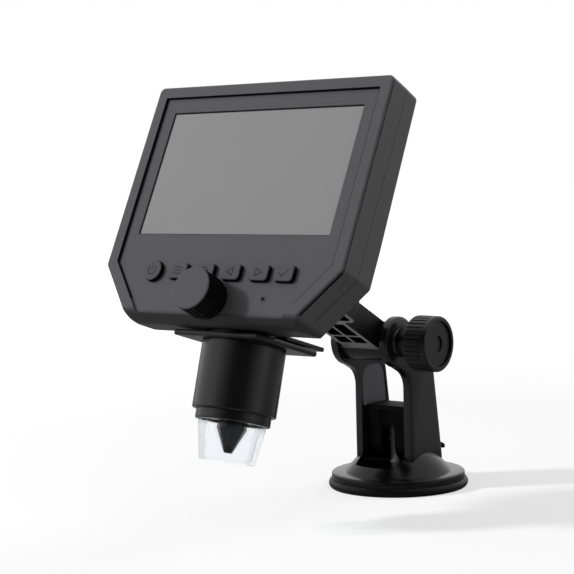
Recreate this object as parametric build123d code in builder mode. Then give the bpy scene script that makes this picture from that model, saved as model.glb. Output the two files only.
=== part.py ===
from build123d import *
import os
from math import atan, cos, degrees, pi, radians, sin, sqrt, tan

# LCD digital microscope on a suction-cup stand. Millimetres, +Z up, front towards -Y.
# Origin: centre of the suction cup's gripping face, on the surface it holds.

os.makedirs("parts", exist_ok=True)

# ---------- Clearances ----------
run_gap = 0.05            # radial play of a pin, shaft or slide in its own bore
slip_gap = 0.3            # play between moulded pieces that move past each other
fit_gap = 0.1             # play of a piece that is dropped into its seat

# ---------- Stand: suction cup and base ----------
cup_radius = 30.9
cup_lip = 3.6             # height of the rubber lip under the flange
cup_rim = 2.2             # width of the lip's gripping edge
cup_arch = 2.0            # height of the hollow under the rubber, at its centre
cup_floor = 1.2           # rubber left under the stem's foot
flange_radius = 29.5
flange_height = 3.2
flange_edge = 0.9
dome_radius = 23.7        # where the dome starts on the flange
dome_shoulder = 14.6      # where the dome meets its flat top
dome_height = 9.2
slot_floor = 10.6         # height of the floor between the legs

# ---------- Stand: legs and pivot ----------
leg_inner = 11.1          # from the middle plane to a leg's inner face
leg_thickness = 3.85
leg_front = -10.9         # front edge, by depth
leg_rear = 12.2           # rear edge at the dome
leg_rear_top = 7.4        # rear edge at the shoulder
leg_shoulder = 52.0       # height where the legs turn forward
leg_front_bend = 44.0     # height where the front edge turns forward
pivot_forward = 17.8
pivot_height = 66.2
eye_radius = 11.4
bolt_radius = 2.5
bolt_head_flats = 8.0
bolt_head_height = 3.4
hub_radius = 8.6
washer_radius = 7.6
washer_thickness = 0.4

# ---------- Suction lever ----------
stem_radius = 3.2
stem_foot_radius = 5.0
stem_foot_height = 1.5
stem_lift = 2.5           # how far the lever pulls the stem up
lever_pin_radius = 1.5
lever_pin_height = 21.0
lever_top = 35.4
lever_depth = 15.0        # of the block above the pin, front to back
lever_handle_reach = 22.4
lever_handle_thickness = 3.0
lever_handle_drop = 5.0   # the handle's tip below the pin
lever_corner = 2.5

# ---------- Arm ----------
arm_rise = 28.4           # degrees above the horizontal
arm_reach = 63.3          # from the pivot to the bracket's back
arm_width = 18.0
arm_thickness = 12.0
arm_wall = 1.8
arm_rib = 1.3
arm_foot_start = 34.6
arm_foot_width = 32.0
arm_foot_corner = 4.0
arm_cross_rib = 19.3

# ---------- Clamp knob ----------
knob_neck_radius = 7.0
knob_neck_length = 8.0
knob_radius = 11.9
knob_length = 11.2
knob_grooves = 36
knob_groove_radius = 0.5
knob_face_radius = 9.8
knob_face_recess = 0.9
knob_dimple_radius = 3.6
insert_radius = 4.0
insert_length = 9.0

# ---------- Head: attitude and display ----------
barrel_lean = 16.5        # the optical axis leans back, degrees from the vertical
screen_lean = 10.4        # the display leans back further than the axis
screen_rise = 67.9        # from the barrel datum to the display's centre, along the axis
screen_forward = 13.9     # from the optical axis to the display's face
screen_width = 95.04
screen_height = 53.86
lcd_width = 105.5
lcd_height = 67.2
lcd_thickness = 2.9
lcd_top_border = 4.2
lcd_glass = 1.1
window_border = 1.6       # black border seen round the picture area

# ---------- Head: housing ----------
case_half_width = 59.1
case_top = 39.1
case_side_end = -41.6     # where the lower corners are cut off
case_bottom = -63.8
case_bottom_half = 40.6
case_rim = 1.8            # the rim stands this far in front of the picture
panel_recess = 1.15       # the panel lies this far behind the rim
rim_width = 5.0
case_wall = 2.0
parting = -8.5            # where the two shells meet
case_depth = 18.7
case_draft = 1.8
rear_lean = 1.6           # the back falls away towards the bottom, degrees
chin_drop = 4.1           # bevel along the lower front edge
chin_depth = 7.6
corner_radius = 2.4
edge_soft = 0.8
underside_rise = 4.2      # the underside above the barrel datum
hump_half_width = 20.5
hump_back = 20.0          # from the optical axis to the hump's back
hump_bottom = 12.0
hump_top = 60.0
hump_corner = 6.0

# ---------- Buttons ----------
button_height = -43.6
button_width = 9.2
button_tall = 6.6
button_corner = 1.6
button_proud = 2.0
button_travel = 0.4
button_flange = 0.9       # collar that keeps a button behind the panel
button_flange_depth = 0.8
power_radius = 4.4
power_x = -32.9
button_names = ["menu_button", "photo_button", "left_button", "right_button", "ok_button"]
button_x = [-19.6, -6.0, 7.1, 21.0, 33.0]
switch_size = 4.5
switch_height = 1.6
board_thickness = 1.6
mic_x = 25.1
mic_height = -53.7
mic_radius = 0.7

# ---------- Focus drive ----------
focus_height = -55.1
focus_radius = 8.8
focus_grip = 9.45
focus_collar = 2.2
focus_collar_radius = 8.0
focus_ribs = 32
focus_rib_radius = 0.35
shaft_radius = 1.2
pinion_teeth = 10
tooth_module = 0.4
pinion_width = 3.0
pinion_depth = -18.9      # back face of the pinion behind the display
focus_down = 3.5          # how far the lens can move down from rest
focus_up = 6.5

# ---------- Barrel ----------
barrel_radius = 16.7
barrel_bottom = -26.1
barrel_edge = 0.6
barrel_top = 52.0
barrel_wall = 2.0
barrel_step = 17.0        # above this the tube is slim enough to pass behind the display
slim_radius = 11.4
carriage_radius = 9.0
guide_length = 8.0
lower_guide = -16.0
upper_guide = 30.0
bezel_radius = 14.9
bezel_height = 3.9
bezel_spigot = 3.0
lamp_board_thickness = 1.0
lamp_count = 8
lamp_radius = 9.6
lamp_size = 2.0
cap_top_radius = 13.6
cap_bottom_radius = 11.0
cap_wall = 1.2
cap_length = 15.2
cap_lip = 2.0
nose_base_radius = 5.9
nose_tip_radius = 1.6
nose_length = 9.4
nose_start = -32.4        # where the cone starts below the barrel datum
lens_bore = 3.6
lens_radius = 3.5
lens_thickness = 2.4
lens_dome = 0.8

# ---------- Collar under the housing ----------
collar_half_width = 18.8
collar_front = 18.6
collar_back = 21.5
collar_thickness = 2.2
collar_height = 0.6
collar_corner = 5.0
collar_shoulder = 0.4     # the tube is this much slimmer inside the collar
ledge_back = 27.0
ledge_thickness = 1.4

# ---------- Rear bracket ----------
bracket_thickness = 4.0
bracket_half_width = 17.0
bracket_height = 38.0
bracket_centre = 32.4     # above the barrel datum, where the arm meets it
tongue_root = 6.5         # half width of the dovetail where it leaves the arm
tongue_edge = 8.5
tongue_depth = 2.4
tongue_length = 26.0
bracket_screw_x = 13.0
bracket_screw_rise = 14.0

# ---------- Battery ----------
battery_width = 56.0
battery_height = 30.0
battery_thickness = 5.5
battery_centre = 17.0
cover_margin = 3.0
cover_thickness = 1.6

# ---------- Left side: sockets and lamp dimmer ----------
usb_height = 12.0
usb_width = 7.6
usb_tall = 2.8
usb_depth = 5.6
card_height = -8.0
card_width = 14.0
card_tall = 1.8
card_depth = 14.0
dimmer_height = -26.0
dimmer_radius = 6.0
dimmer_thickness = 2.4
dimmer_proud = 1.6
dimmer_ribs = 24

# ---------- Screws ----------
screw_radius = 1.2
screw_head_radius = 2.3
screw_head_height = 1.5
boss_radius = 2.7


# ---------- Frames ----------
def point_on_arm(reach):
    """A point on the arm's centre line, by its distance from the pivot."""
    return Vector(
        0,
        -pivot_forward - reach * cos(radians(arm_rise)),
        pivot_height + reach * sin(radians(arm_rise)),
    )


def front_view(plane):
    """The upright plane through a frame's origin that faces the front."""
    return Plane(origin=plane.origin, x_dir=plane.x_dir, z_dir=-plane.y_dir)


def side_view(plane):
    """The middle plane of the display's frame: x forward, y up along the display."""
    return Plane(origin=plane.origin, x_dir=plane.z_dir, z_dir=-plane.x_dir)


up_barrel = Vector(0, sin(radians(barrel_lean)), cos(radians(barrel_lean)))
back_barrel = Vector(0, cos(radians(barrel_lean)), -sin(radians(barrel_lean)))
seat_point = point_on_arm(arm_reach)
barrel_origin = (
    seat_point - up_barrel * bracket_centre - back_barrel * (hump_back + bracket_thickness)
)
# Barrel frame: x right, y back, z up along the optical axis.
barrel = Plane(origin=barrel_origin, x_dir=(1, 0, 0), z_dir=up_barrel)
barrel_axis = Axis(barrel_origin, up_barrel)
barrel_front = front_view(barrel)

head_lean = radians(barrel_lean + screen_lean)
# Display frame: x right, y up along the display, z out towards the viewer.
screen = Plane(
    origin=barrel_origin + up_barrel * screen_rise - back_barrel * screen_forward,
    x_dir=(1, 0, 0),
    z_dir=(0, -cos(head_lean), sin(head_lean)),
)
screen_side = side_view(screen)

pivot = Vector(0, -pivot_forward, pivot_height)
pivot_plane = Plane(origin=pivot, x_dir=(0, 1, 0), z_dir=(1, 0, 0))
arm_direction = (point_on_arm(1) - pivot).normalized()
arm_normal = Vector(0, sin(radians(arm_rise)), cos(radians(arm_rise)))
# Arm frame: x to the side, y towards the head along the arm, z up out of its top.
arm_plane = Plane(origin=pivot, x_dir=(-1, 0, 0), z_dir=arm_normal)
lever_plane = Plane(origin=(0, 0, lever_pin_height), x_dir=(0, 1, 0), z_dir=(1, 0, 0))

leg_outer = leg_inner + leg_thickness
flange_top = cup_lip + flange_height
dome_top = flange_top + dome_height
panel_face = case_rim - panel_recess
panel_back = panel_face - case_wall
foot_top = slot_floor - 2.0 - 1.2
foot_pocket = stem_foot_radius + slip_gap
seat_radius = barrel_radius - collar_shoulder


def arc_radius(half_width, rise):
    """Radius of the arc that rises by this much over this half width."""
    return (half_width * half_width + rise * rise) / (2 * rise)


def export(part, name):
    """Names a finished piece and writes its STEP file."""
    part.label = name
    export_step(part, f"parts/{name}.step")


# ---------- Suction cup ----------
boss_top = foot_top + 1.0
with BuildPart() as suction_cup:
    with BuildSketch(Plane.XZ):
        with BuildLine():
            lip_outer = cup_radius - 0.9
            Polyline(
                (0, cup_arch),
                (0, boss_top),
                (8.0, boss_top),
                (8.0, cup_lip),
                (lip_outer, cup_lip),
            )
            ThreePointArc((lip_outer, cup_lip), (cup_radius, cup_lip / 2), (lip_outer, 0))
            Line((lip_outer, 0), (lip_outer - cup_rim, 0))
            arch_half = lip_outer - cup_rim
            RadiusArc((arch_half, 0), (0, cup_arch), -arc_radius(arch_half, cup_arch))
        make_face()
    revolve(axis=Axis.Z)
    # Pocket that holds the stem's foot, and the neck above it.
    with BuildSketch(Plane.XY.offset(cup_arch + cup_floor)):
        Circle(foot_pocket)
    extrude(amount=foot_top - cup_arch - cup_floor + 0.05, mode=Mode.SUBTRACT)
    with BuildSketch(Plane.XY.offset(foot_top)):
        Circle(stem_radius + slip_gap)
    extrude(amount=boss_top, mode=Mode.SUBTRACT)
export(suction_cup.part, "suction_cup")

# ---------- Yoke: flange, dome, two legs and their eyes in one moulding ----------
with BuildPart() as yoke:
    with BuildSketch(Plane.XZ):
        with BuildLine():
            Polyline(
                (0, dome_top),
                (0, cup_lip),
                (flange_radius, cup_lip),
                (flange_radius, flange_top - flange_edge),
            )
            ThreePointArc(
                (flange_radius, flange_top - flange_edge),
                (flange_radius - 0.3 * flange_edge, flange_top - 0.3 * flange_edge),
                (flange_radius - flange_edge, flange_top),
            )
            Line((flange_radius - flange_edge, flange_top), (dome_radius, flange_top))
            ThreePointArc(
                (dome_radius, flange_top),
                ((dome_radius + dome_shoulder) / 2 - 0.4, flange_top + 0.58 * dome_height),
                (dome_shoulder, dome_top - 0.4),
            )
            Polyline((dome_shoulder, dome_top - 0.4), (dome_shoulder - 2, dome_top), (0, dome_top))
        make_face()
    revolve(axis=Axis.Z)
    # Slot between the legs for the lever and the stem.
    with BuildSketch(Plane.XY.offset(slot_floor)):
        Rectangle(2 * leg_inner, 2 * flange_radius)
    extrude(amount=dome_height, mode=Mode.SUBTRACT)
    for side in (-1, 1):
        with BuildSketch(Plane.YZ.offset(side * leg_inner)) as leg_profile:
            with BuildLine():
                Polyline(
                    (leg_front, flange_top + 2),
                    (leg_rear, flange_top + 2),
                    (leg_rear, flange_top + 6),
                    (leg_rear_top, leg_shoulder),
                    (leg_rear_top - 4, leg_shoulder + 10),
                    (-pivot_forward, pivot_height + 2),
                    (-pivot_forward - 4, pivot_height - 5),
                    (leg_front, leg_front_bend),
                    (leg_front, flange_top + 2),
                )
            make_face()
            with Locations((-pivot_forward, pivot_height)):
                Circle(eye_radius)
            bends = leg_profile.vertices().filter_by(
                lambda v: v.Y > leg_front_bend - 1 and v.X > -pivot_forward
            )
            fillet(bends, 5.0)
        extrude(amount=side * leg_thickness)
    soft_edges = yoke.edges().filter_by(
        lambda e: abs(abs(e.center().X) - leg_outer) < 0.01 and e.center().Z > dome_top + 1
    )
    fillet(soft_edges, edge_soft)
    # Bolt hole through both eyes, hexagonal seat for the bolt's head on the left.
    with BuildSketch(pivot_plane):
        Circle(bolt_radius + run_gap)
    extrude(amount=leg_outer, both=True, mode=Mode.SUBTRACT)
    with BuildSketch(pivot_plane.offset(-leg_outer)):
        RegularPolygon(bolt_head_flats / 2 + fit_gap, 6, major_radius=False)
    extrude(amount=1.6, mode=Mode.SUBTRACT)
    # Stem bore in the floor and the hollow over the cup's boss.
    with BuildSketch(Plane.XY):
        Circle(stem_radius + fit_gap)
    extrude(amount=dome_top, mode=Mode.SUBTRACT)
    with BuildSketch(Plane.XY):
        Circle(8.3)
    extrude(amount=boss_top + 0.1, mode=Mode.SUBTRACT)
export(yoke.part, "yoke")

# ---------- Pull stem and lever ----------
with BuildPart() as pull_stem:
    with BuildSketch(Plane.XY.offset(foot_top - stem_foot_height)):
        Circle(stem_foot_radius)
    extrude(amount=stem_foot_height)
    with BuildSketch(Plane.XY.offset(foot_top)):
        Circle(stem_radius)
    extrude(amount=lever_pin_height + stem_radius + 2.6 - foot_top)
    fillet(pull_stem.edges().group_by(Axis.Z)[-1], 1.2)
    with BuildSketch(lever_plane):
        Circle(lever_pin_radius)
    extrude(amount=stem_radius, both=True, mode=Mode.SUBTRACT)
export(pull_stem.part, "pull_stem")

cheek_half = leg_inner - 2 * slip_gap
with BuildPart() as lever_pin:
    with BuildSketch(lever_plane):
        Circle(lever_pin_radius)
    extrude(amount=cheek_half, both=True)
export(lever_pin.part, "lever_pin")

# The lever's lower lobe is an off-centre circle: 10 mm under the pin when locked,
# and the lift less when the lever is up.
lobe_locked = lever_pin_height - slot_floor - slip_gap
lobe_radius = lobe_locked - 1.4
lobe_y = lobe_radius - (lobe_locked - stem_lift)
with BuildPart() as suction_lever:
    with BuildSketch(lever_plane) as lever_profile:
        with Locations((lobe_y, lobe_radius - lobe_locked)):
            Circle(lobe_radius)
        with Locations((0, (lever_top - lever_pin_height) / 2)):
            Rectangle(lever_depth, lever_top - lever_pin_height)
        with BuildLine():
            Polyline(
                (0, lever_handle_thickness),
                (lever_depth / 2 + 2, 0.5),
                (lever_handle_reach, -lever_handle_drop + lever_handle_thickness),
                (lever_handle_reach, -lever_handle_drop),
                (lever_depth / 2, -lever_handle_thickness - 1.5),
                (0, lever_handle_thickness),
            )
        make_face()
        fillet(lever_profile.vertices().group_by(Axis.Y)[-1], lever_corner)
    extrude(amount=cheek_half, both=True)
    # The stem's slot divides the block into two cheeks.
    with BuildSketch(Plane.XY.offset(slot_floor)):
        with Locations((0, -lever_depth / 2)):
            Rectangle(2 * (stem_radius + slip_gap), 2 * lever_depth)
    extrude(amount=lever_top, mode=Mode.SUBTRACT)
    with BuildSketch(lever_plane):
        Circle(lever_pin_radius + run_gap)
    extrude(amount=leg_inner, both=True, mode=Mode.SUBTRACT)
export(suction_lever.part, "suction_lever")

# ---------- Arm ----------
half_thick = arm_thickness / 2
hub_half = leg_inner - washer_thickness - fit_gap
seat_tilt = arm_rise - barrel_lean      # the bracket's face against square to the arm
seat_plane = Plane(origin=seat_point, x_dir=(1, 0, 0), z_dir=back_barrel)
with BuildPart() as arm:
    with BuildSketch(arm_plane.offset(-half_thick)) as arm_plan:
        with Locations((0, arm_foot_start / 2)):
            Rectangle(arm_width, arm_foot_start)
        foot_length = arm_reach + 6 - arm_foot_start
        with Locations((0, arm_foot_start + foot_length / 2)):
            Rectangle(arm_foot_width, foot_length)
        shoulders = arm_plan.vertices().filter_by(lambda v: abs(v.Y - arm_foot_start) < 0.01)
        fillet(shoulders.filter_by(lambda v: abs(v.X) > arm_width / 2 + 1), arm_foot_corner)
        fillet(
            arm_plan.vertices().filter_by(
                lambda v: abs(v.Y - arm_foot_start) < 0.01 and abs(v.X) < arm_width / 2 + 1
            ),
            2.0,
        )
    extrude(amount=arm_thickness)
    fillet(arm.edges().filter_by(Axis.X).group_by(Axis.Z)[-1], 1.0)
    # Open underside: two rows of pockets in the beam, one pocket in the foot.
    rib_ends = [hub_radius + 2.5, arm_cross_rib, arm_foot_start - 1.6]
    pocket_width = arm_width / 2 - arm_wall - arm_rib / 2
    for start, end in zip(rib_ends[:-1], rib_ends[1:]):
        with BuildSketch(arm_plane.offset(-half_thick)):
            with Locations((0, (start + end) / 2)):
                with GridLocations(pocket_width + arm_rib, 1, 2, 1):
                    Rectangle(pocket_width, end - start - arm_rib)
        extrude(amount=arm_thickness - arm_wall, mode=Mode.SUBTRACT)
    foot_pocket_start = arm_foot_start + arm_wall
    foot_pocket_end = arm_reach - 5
    with BuildSketch(arm_plane.offset(-half_thick)):
        with Locations((0, (foot_pocket_start + foot_pocket_end) / 2)):
            RectangleRounded(
                arm_foot_width - 2 * arm_wall,
                foot_pocket_end - foot_pocket_start,
                arm_foot_corner - arm_wall,
            )
    extrude(amount=arm_thickness - arm_wall, mode=Mode.SUBTRACT)
    # Hub between the yoke's eyes.
    with BuildSketch(pivot_plane):
        Circle(hub_radius)
    extrude(amount=hub_half, both=True)
    # The foot is cut off square to the bracket, and carries the dovetail tongue.
    split(bisect_by=seat_plane, keep=Keep.TOP)
    with BuildSketch(Plane(origin=seat_point - up_barrel * tongue_length / 2, x_dir=(1, 0, 0),
                           z_dir=up_barrel)):
        with BuildLine():
            Polyline(
                (-tongue_root, 0.5),
                (-tongue_root, 0),
                (-tongue_edge, -tongue_depth),
                (tongue_edge, -tongue_depth),
                (tongue_root, 0),
                (tongue_root, 0.5),
                close=True,
            )
        make_face()
    extrude(amount=tongue_length)
    with BuildSketch(pivot_plane):
        Circle(bolt_radius + fit_gap)
    extrude(amount=leg_outer, both=True, mode=Mode.SUBTRACT)
export(arm.part, "arm")

# ---------- Pivot bolt, washers and clamp knob ----------
head_seat = 1.6
bolt_head_start = -leg_outer + head_seat
outer_washer = 0.8
knob_start = leg_outer + outer_washer + slip_gap
grip_start = knob_start + knob_neck_length - 0.8
grip_end = grip_start + knob_length
with BuildPart() as pivot_bolt:
    with BuildSketch(pivot_plane.offset(bolt_head_start - bolt_head_height)):
        RegularPolygon(bolt_head_flats / 2, 6, major_radius=False)
    extrude(amount=bolt_head_height)
    chamfer(pivot_bolt.edges().group_by(Axis.X)[0], 0.4)
    with BuildSketch(pivot_plane.offset(bolt_head_start)):
        Circle(bolt_radius)
    extrude(amount=knob_start + insert_length + 1.0 - bolt_head_start)
    chamfer(pivot_bolt.edges().group_by(Axis.X)[-1], 0.5)
export(pivot_bolt.part, "pivot_bolt")

with BuildPart() as friction_washers:
    for side in (-1, 1):
        with BuildSketch(pivot_plane.offset(side * leg_inner)):
            Circle(washer_radius)
            Circle(bolt_radius + run_gap, mode=Mode.SUBTRACT)
        extrude(amount=-side * washer_thickness)
export(friction_washers.part, "friction_washers")

with BuildPart() as clamp_washer:
    with BuildSketch(pivot_plane.offset(leg_outer)):
        Circle(bolt_radius + 3.5)
        Circle(bolt_radius + run_gap, mode=Mode.SUBTRACT)
    extrude(amount=outer_washer)
export(clamp_washer.part, "clamp_washer")

with BuildPart() as clamp_knob:
    with BuildSketch(pivot_plane.offset(knob_start)):
        Circle(knob_neck_radius - 0.6)
    with BuildSketch(pivot_plane.offset(grip_start)):
        Circle(knob_neck_radius + 0.6)
    loft()
    with BuildSketch(pivot_plane.offset(grip_start)):
        Circle(knob_radius)
    extrude(amount=knob_length)
    fillet(clamp_knob.edges().filter_by(GeomType.CIRCLE).group_by(SortBy.RADIUS)[-1], 1.0)
    # Finger grooves stop short of a plain rim.
    with BuildSketch(pivot_plane.offset(grip_start - 1)):
        with PolarLocations(knob_radius + 0.15, knob_grooves):
            Circle(knob_groove_radius)
    extrude(amount=knob_length - 1.0, mode=Mode.SUBTRACT)
    with BuildSketch(pivot_plane.offset(grip_end)):
        Circle(knob_face_radius)
    extrude(amount=-(knob_face_recess + 1.2), mode=Mode.SUBTRACT)
    with BuildSketch(pivot_plane.offset(knob_start)):
        Circle(insert_radius + 0.02)
    extrude(amount=insert_length, mode=Mode.SUBTRACT)
    with BuildSketch(pivot_plane.offset(knob_start)):
        Circle(bolt_radius + 4 * run_gap)
    extrude(amount=insert_length + 2.0, mode=Mode.SUBTRACT)
export(clamp_knob.part, "clamp_knob")

with BuildPart() as knob_insert:
    with BuildSketch(pivot_plane.offset(knob_start)):
        RegularPolygon(insert_radius, 12)
        Circle(bolt_radius + run_gap, mode=Mode.SUBTRACT)
    extrude(amount=insert_length)
export(knob_insert.part, "knob_insert")

with BuildPart() as knob_cap:
    with BuildSketch(pivot_plane.offset(grip_end - knob_face_recess - 1.2)):
        Circle(knob_face_radius - fit_gap)
    extrude(amount=1.2)
    with BuildSketch(pivot_plane.offset(grip_end - knob_face_recess)):
        Circle(knob_dimple_radius)
    extrude(amount=-0.7, mode=Mode.SUBTRACT)
export(knob_cap.part, "knob_cap")

# ---------- Bracket on the back of the head ----------
# Frame of the bracket's back face: y up along the barrel, z backwards.
bracket_face = Plane(origin=seat_point, x_dir=(-1, 0, 0), z_dir=back_barrel)
screw_spots = GridLocations(2 * bracket_screw_x, 2 * bracket_screw_rise, 2, 2)
with BuildPart() as bracket:
    with BuildSketch(bracket_face):
        RectangleRounded(2 * bracket_half_width, bracket_height, 3.0)
    extrude(amount=-bracket_thickness)
    fillet(bracket.faces().sort_by(Axis(seat_point, back_barrel))[-1].edges(), 0.8)
    # Dovetail groove, open below so that the head drops onto the arm's tongue.
    groove_bottom = -bracket_height / 2 - 1
    groove_top = tongue_length / 2 + fit_gap
    with BuildSketch(
        Plane(origin=seat_point + up_barrel * groove_bottom, x_dir=(1, 0, 0), z_dir=up_barrel)
    ):
        with BuildLine():
            Polyline(
                (-tongue_root - fit_gap, 1.0),
                (-tongue_root - fit_gap, 0),
                (-tongue_edge - fit_gap, -tongue_depth - fit_gap),
                (tongue_edge + fit_gap, -tongue_depth - fit_gap),
                (tongue_root + fit_gap, 0),
                (tongue_root + fit_gap, 1.0),
                close=True,
            )
        make_face()
    extrude(amount=groove_top - groove_bottom, mode=Mode.SUBTRACT)
    with BuildSketch(bracket_face):
        with screw_spots:
            Circle(screw_radius + run_gap)
    extrude(amount=-bracket_thickness, mode=Mode.SUBTRACT)
    with BuildSketch(bracket_face):
        with screw_spots:
            Circle(screw_head_radius + run_gap)
    extrude(amount=-screw_head_height - 0.3, mode=Mode.SUBTRACT)
export(bracket.part, "rear_bracket")

bracket_screw_length = 8.0
with BuildPart() as bracket_screws:
    with BuildSketch(bracket_face.offset(-screw_head_height - 0.3)):
        with screw_spots:
            Circle(screw_head_radius)
    extrude(amount=screw_head_height)
    with BuildSketch(bracket_face.offset(-screw_head_height - 0.3)):
        with screw_spots:
            Circle(screw_radius)
    extrude(amount=-bracket_screw_length)
export(bracket_screws.part, "bracket_screws")


# ---------- Housing shells ----------
def case_outline(inset, bottom):
    """Corners of the housing's outline drawn in by an inset, down to a given height."""
    run = case_half_width - case_bottom_half
    drop = case_side_end - case_bottom
    slant = sqrt(run * run + drop * drop)
    side = case_half_width - inset
    slant_x = case_half_width - inset * drop / slant
    slant_y = case_side_end + inset * run / slant
    side_end = slant_y - (slant_x - side) * drop / run
    foot = slant_x - (slant_y - bottom) * run / drop
    right = [(side, case_top - inset), (side, side_end), (foot, bottom)]
    return right + [(-x, y) for x, y in reversed(right)]


def at_rear_plane(point_y):
    """Depth of the housing's back at a height along the display."""
    return case_rim - case_depth - (case_top - point_y) * tan(radians(rear_lean))


hollow_bottom = case_bottom + chin_drop + case_wall
lcd_middle = screen_height / 2 + lcd_top_border - lcd_height / 2
boss_x_top = case_half_width - case_wall - boss_radius - 0.8
boss_y_top = case_top - case_wall - boss_radius - 0.2
boss_x_low = 47.5
boss_y_low = -45.0
boss_spots = [
    (x, y) for x, y in (
        (-boss_x_top, boss_y_top), (boss_x_top, boss_y_top),
        (-boss_x_low, boss_y_low), (boss_x_low, boss_y_low),
    )
]
underside = barrel.offset(underside_rise)
focus_line = Plane(
    origin=screen.from_local_coords((0, focus_height, 0)), x_dir=(1, 0, 0), z_dir=screen.z_dir
)
button_board_face = panel_back - button_flange_depth - switch_height - button_travel - 0.1
board_post_x = 42.0

with BuildPart() as front_shell:
    with BuildSketch(screen.offset(parting)) as outline:
        with BuildLine():
            Polyline(case_outline(0, case_bottom), close=True)
        make_face()
        fillet(outline.vertices(), corner_radius)
    extrude(amount=case_rim - parting)
    # Rounded chin along the lower front edge.
    with BuildSketch(screen_side):
        with BuildLine():
            chin_top = (case_rim, case_bottom + chin_drop)
            chin_foot = (case_rim - chin_depth, case_bottom)
            bulge = (case_rim - 0.4 * chin_depth, case_bottom + 0.28 * chin_drop)
            ThreePointArc(chin_top, bulge, chin_foot)
            Polyline(
                chin_foot,
                (chin_foot[0], case_bottom - 2),
                (case_rim + 2, case_bottom - 2),
                (case_rim + 2, chin_top[1]),
                chin_top,
            )
        make_face()
    extrude(amount=case_half_width, both=True, mode=Mode.SUBTRACT)
    rim_edges = front_shell.edges().filter_by(
        lambda e: abs(screen.to_local_coords(e.center()).Z - case_rim) < 0.01
    )
    fillet(rim_edges, edge_soft)
    # Recessed panel; it runs out over the chin.
    with BuildSketch(screen.offset(panel_face)) as recess:
        with BuildLine():
            Polyline(case_outline(rim_width, case_bottom - 2), close=True)
        make_face()
    extrude(amount=2 * panel_recess, mode=Mode.SUBTRACT)
    # Hollow inside, posts for the screws, posts for the button board.
    with BuildSketch(screen.offset(parting)):
        with BuildLine():
            Polyline(case_outline(case_wall, hollow_bottom), close=True)
        make_face()
        with Locations(*boss_spots):
            Circle(boss_radius, mode=Mode.SUBTRACT)
    extrude(amount=panel_back - parting, mode=Mode.SUBTRACT)
    with BuildSketch(screen.offset(button_board_face)):
        with GridLocations(2 * board_post_x, 1, 2, 1):
            with Locations((0, button_height)):
                Circle(1.8)
    extrude(amount=panel_back - button_board_face)
    with BuildSketch(screen.offset(parting)):
        with Locations(*boss_spots):
            Circle(screw_radius + run_gap)
    extrude(amount=-parting + panel_back - 1.0, mode=Mode.SUBTRACT)
    # Seat of the display behind its window.
    with BuildSketch(screen.offset(parting)):
        with Locations((0, lcd_middle)):
            Rectangle(lcd_width + 2 * fit_gap, lcd_height + 2 * fit_gap)
    extrude(amount=-parting, mode=Mode.SUBTRACT)
    with BuildSketch(screen):
        Rectangle(screen_width + 2 * window_border, screen_height + 2 * window_border)
    extrude(amount=2 * case_rim, mode=Mode.SUBTRACT)
    # Openings for the keys, the microphone and the focus shaft.
    with BuildSketch(screen.offset(panel_back - 1)):
        with Locations(*[(x, button_height) for x in button_x]):
            RectangleRounded(
                button_width + slip_gap, button_tall + slip_gap, button_corner + slip_gap / 2
            )
        with Locations((power_x, button_height)):
            Circle(power_radius + slip_gap / 2)
        with Locations((mic_x, mic_height)):
            Circle(mic_radius)
        with Locations((0, focus_height)):
            Circle(shaft_radius + run_gap)
    extrude(amount=2 * case_rim + 2, mode=Mode.SUBTRACT)
    # Passage of the barrel and the flat underside.
    with BuildSketch(barrel):
        Circle(seat_radius + fit_gap)
    extrude(amount=barrel_step + slip_gap, mode=Mode.SUBTRACT)
    split(bisect_by=underside, keep=Keep.TOP)
    # Socket openings in the left side.
    side_wall = Plane(
        origin=screen.from_local_coords((-case_half_width - 1, 0, -lcd_thickness - board_thickness)),
        x_dir=screen.y_dir,
        z_dir=(1, 0, 0),
    )
    with BuildSketch(side_wall):
        with Locations((usb_height, -usb_tall / 2)):
            RectangleRounded(usb_width + 1.2, usb_tall + 1.0, 1.2)
        with Locations((card_height, -card_tall / 2)):
            RectangleRounded(card_width + 1.2, card_tall + 1.0, 0.9)
    extrude(amount=case_wall + 1.5, mode=Mode.SUBTRACT)
export(front_shell.part, "front_shell")

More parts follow.
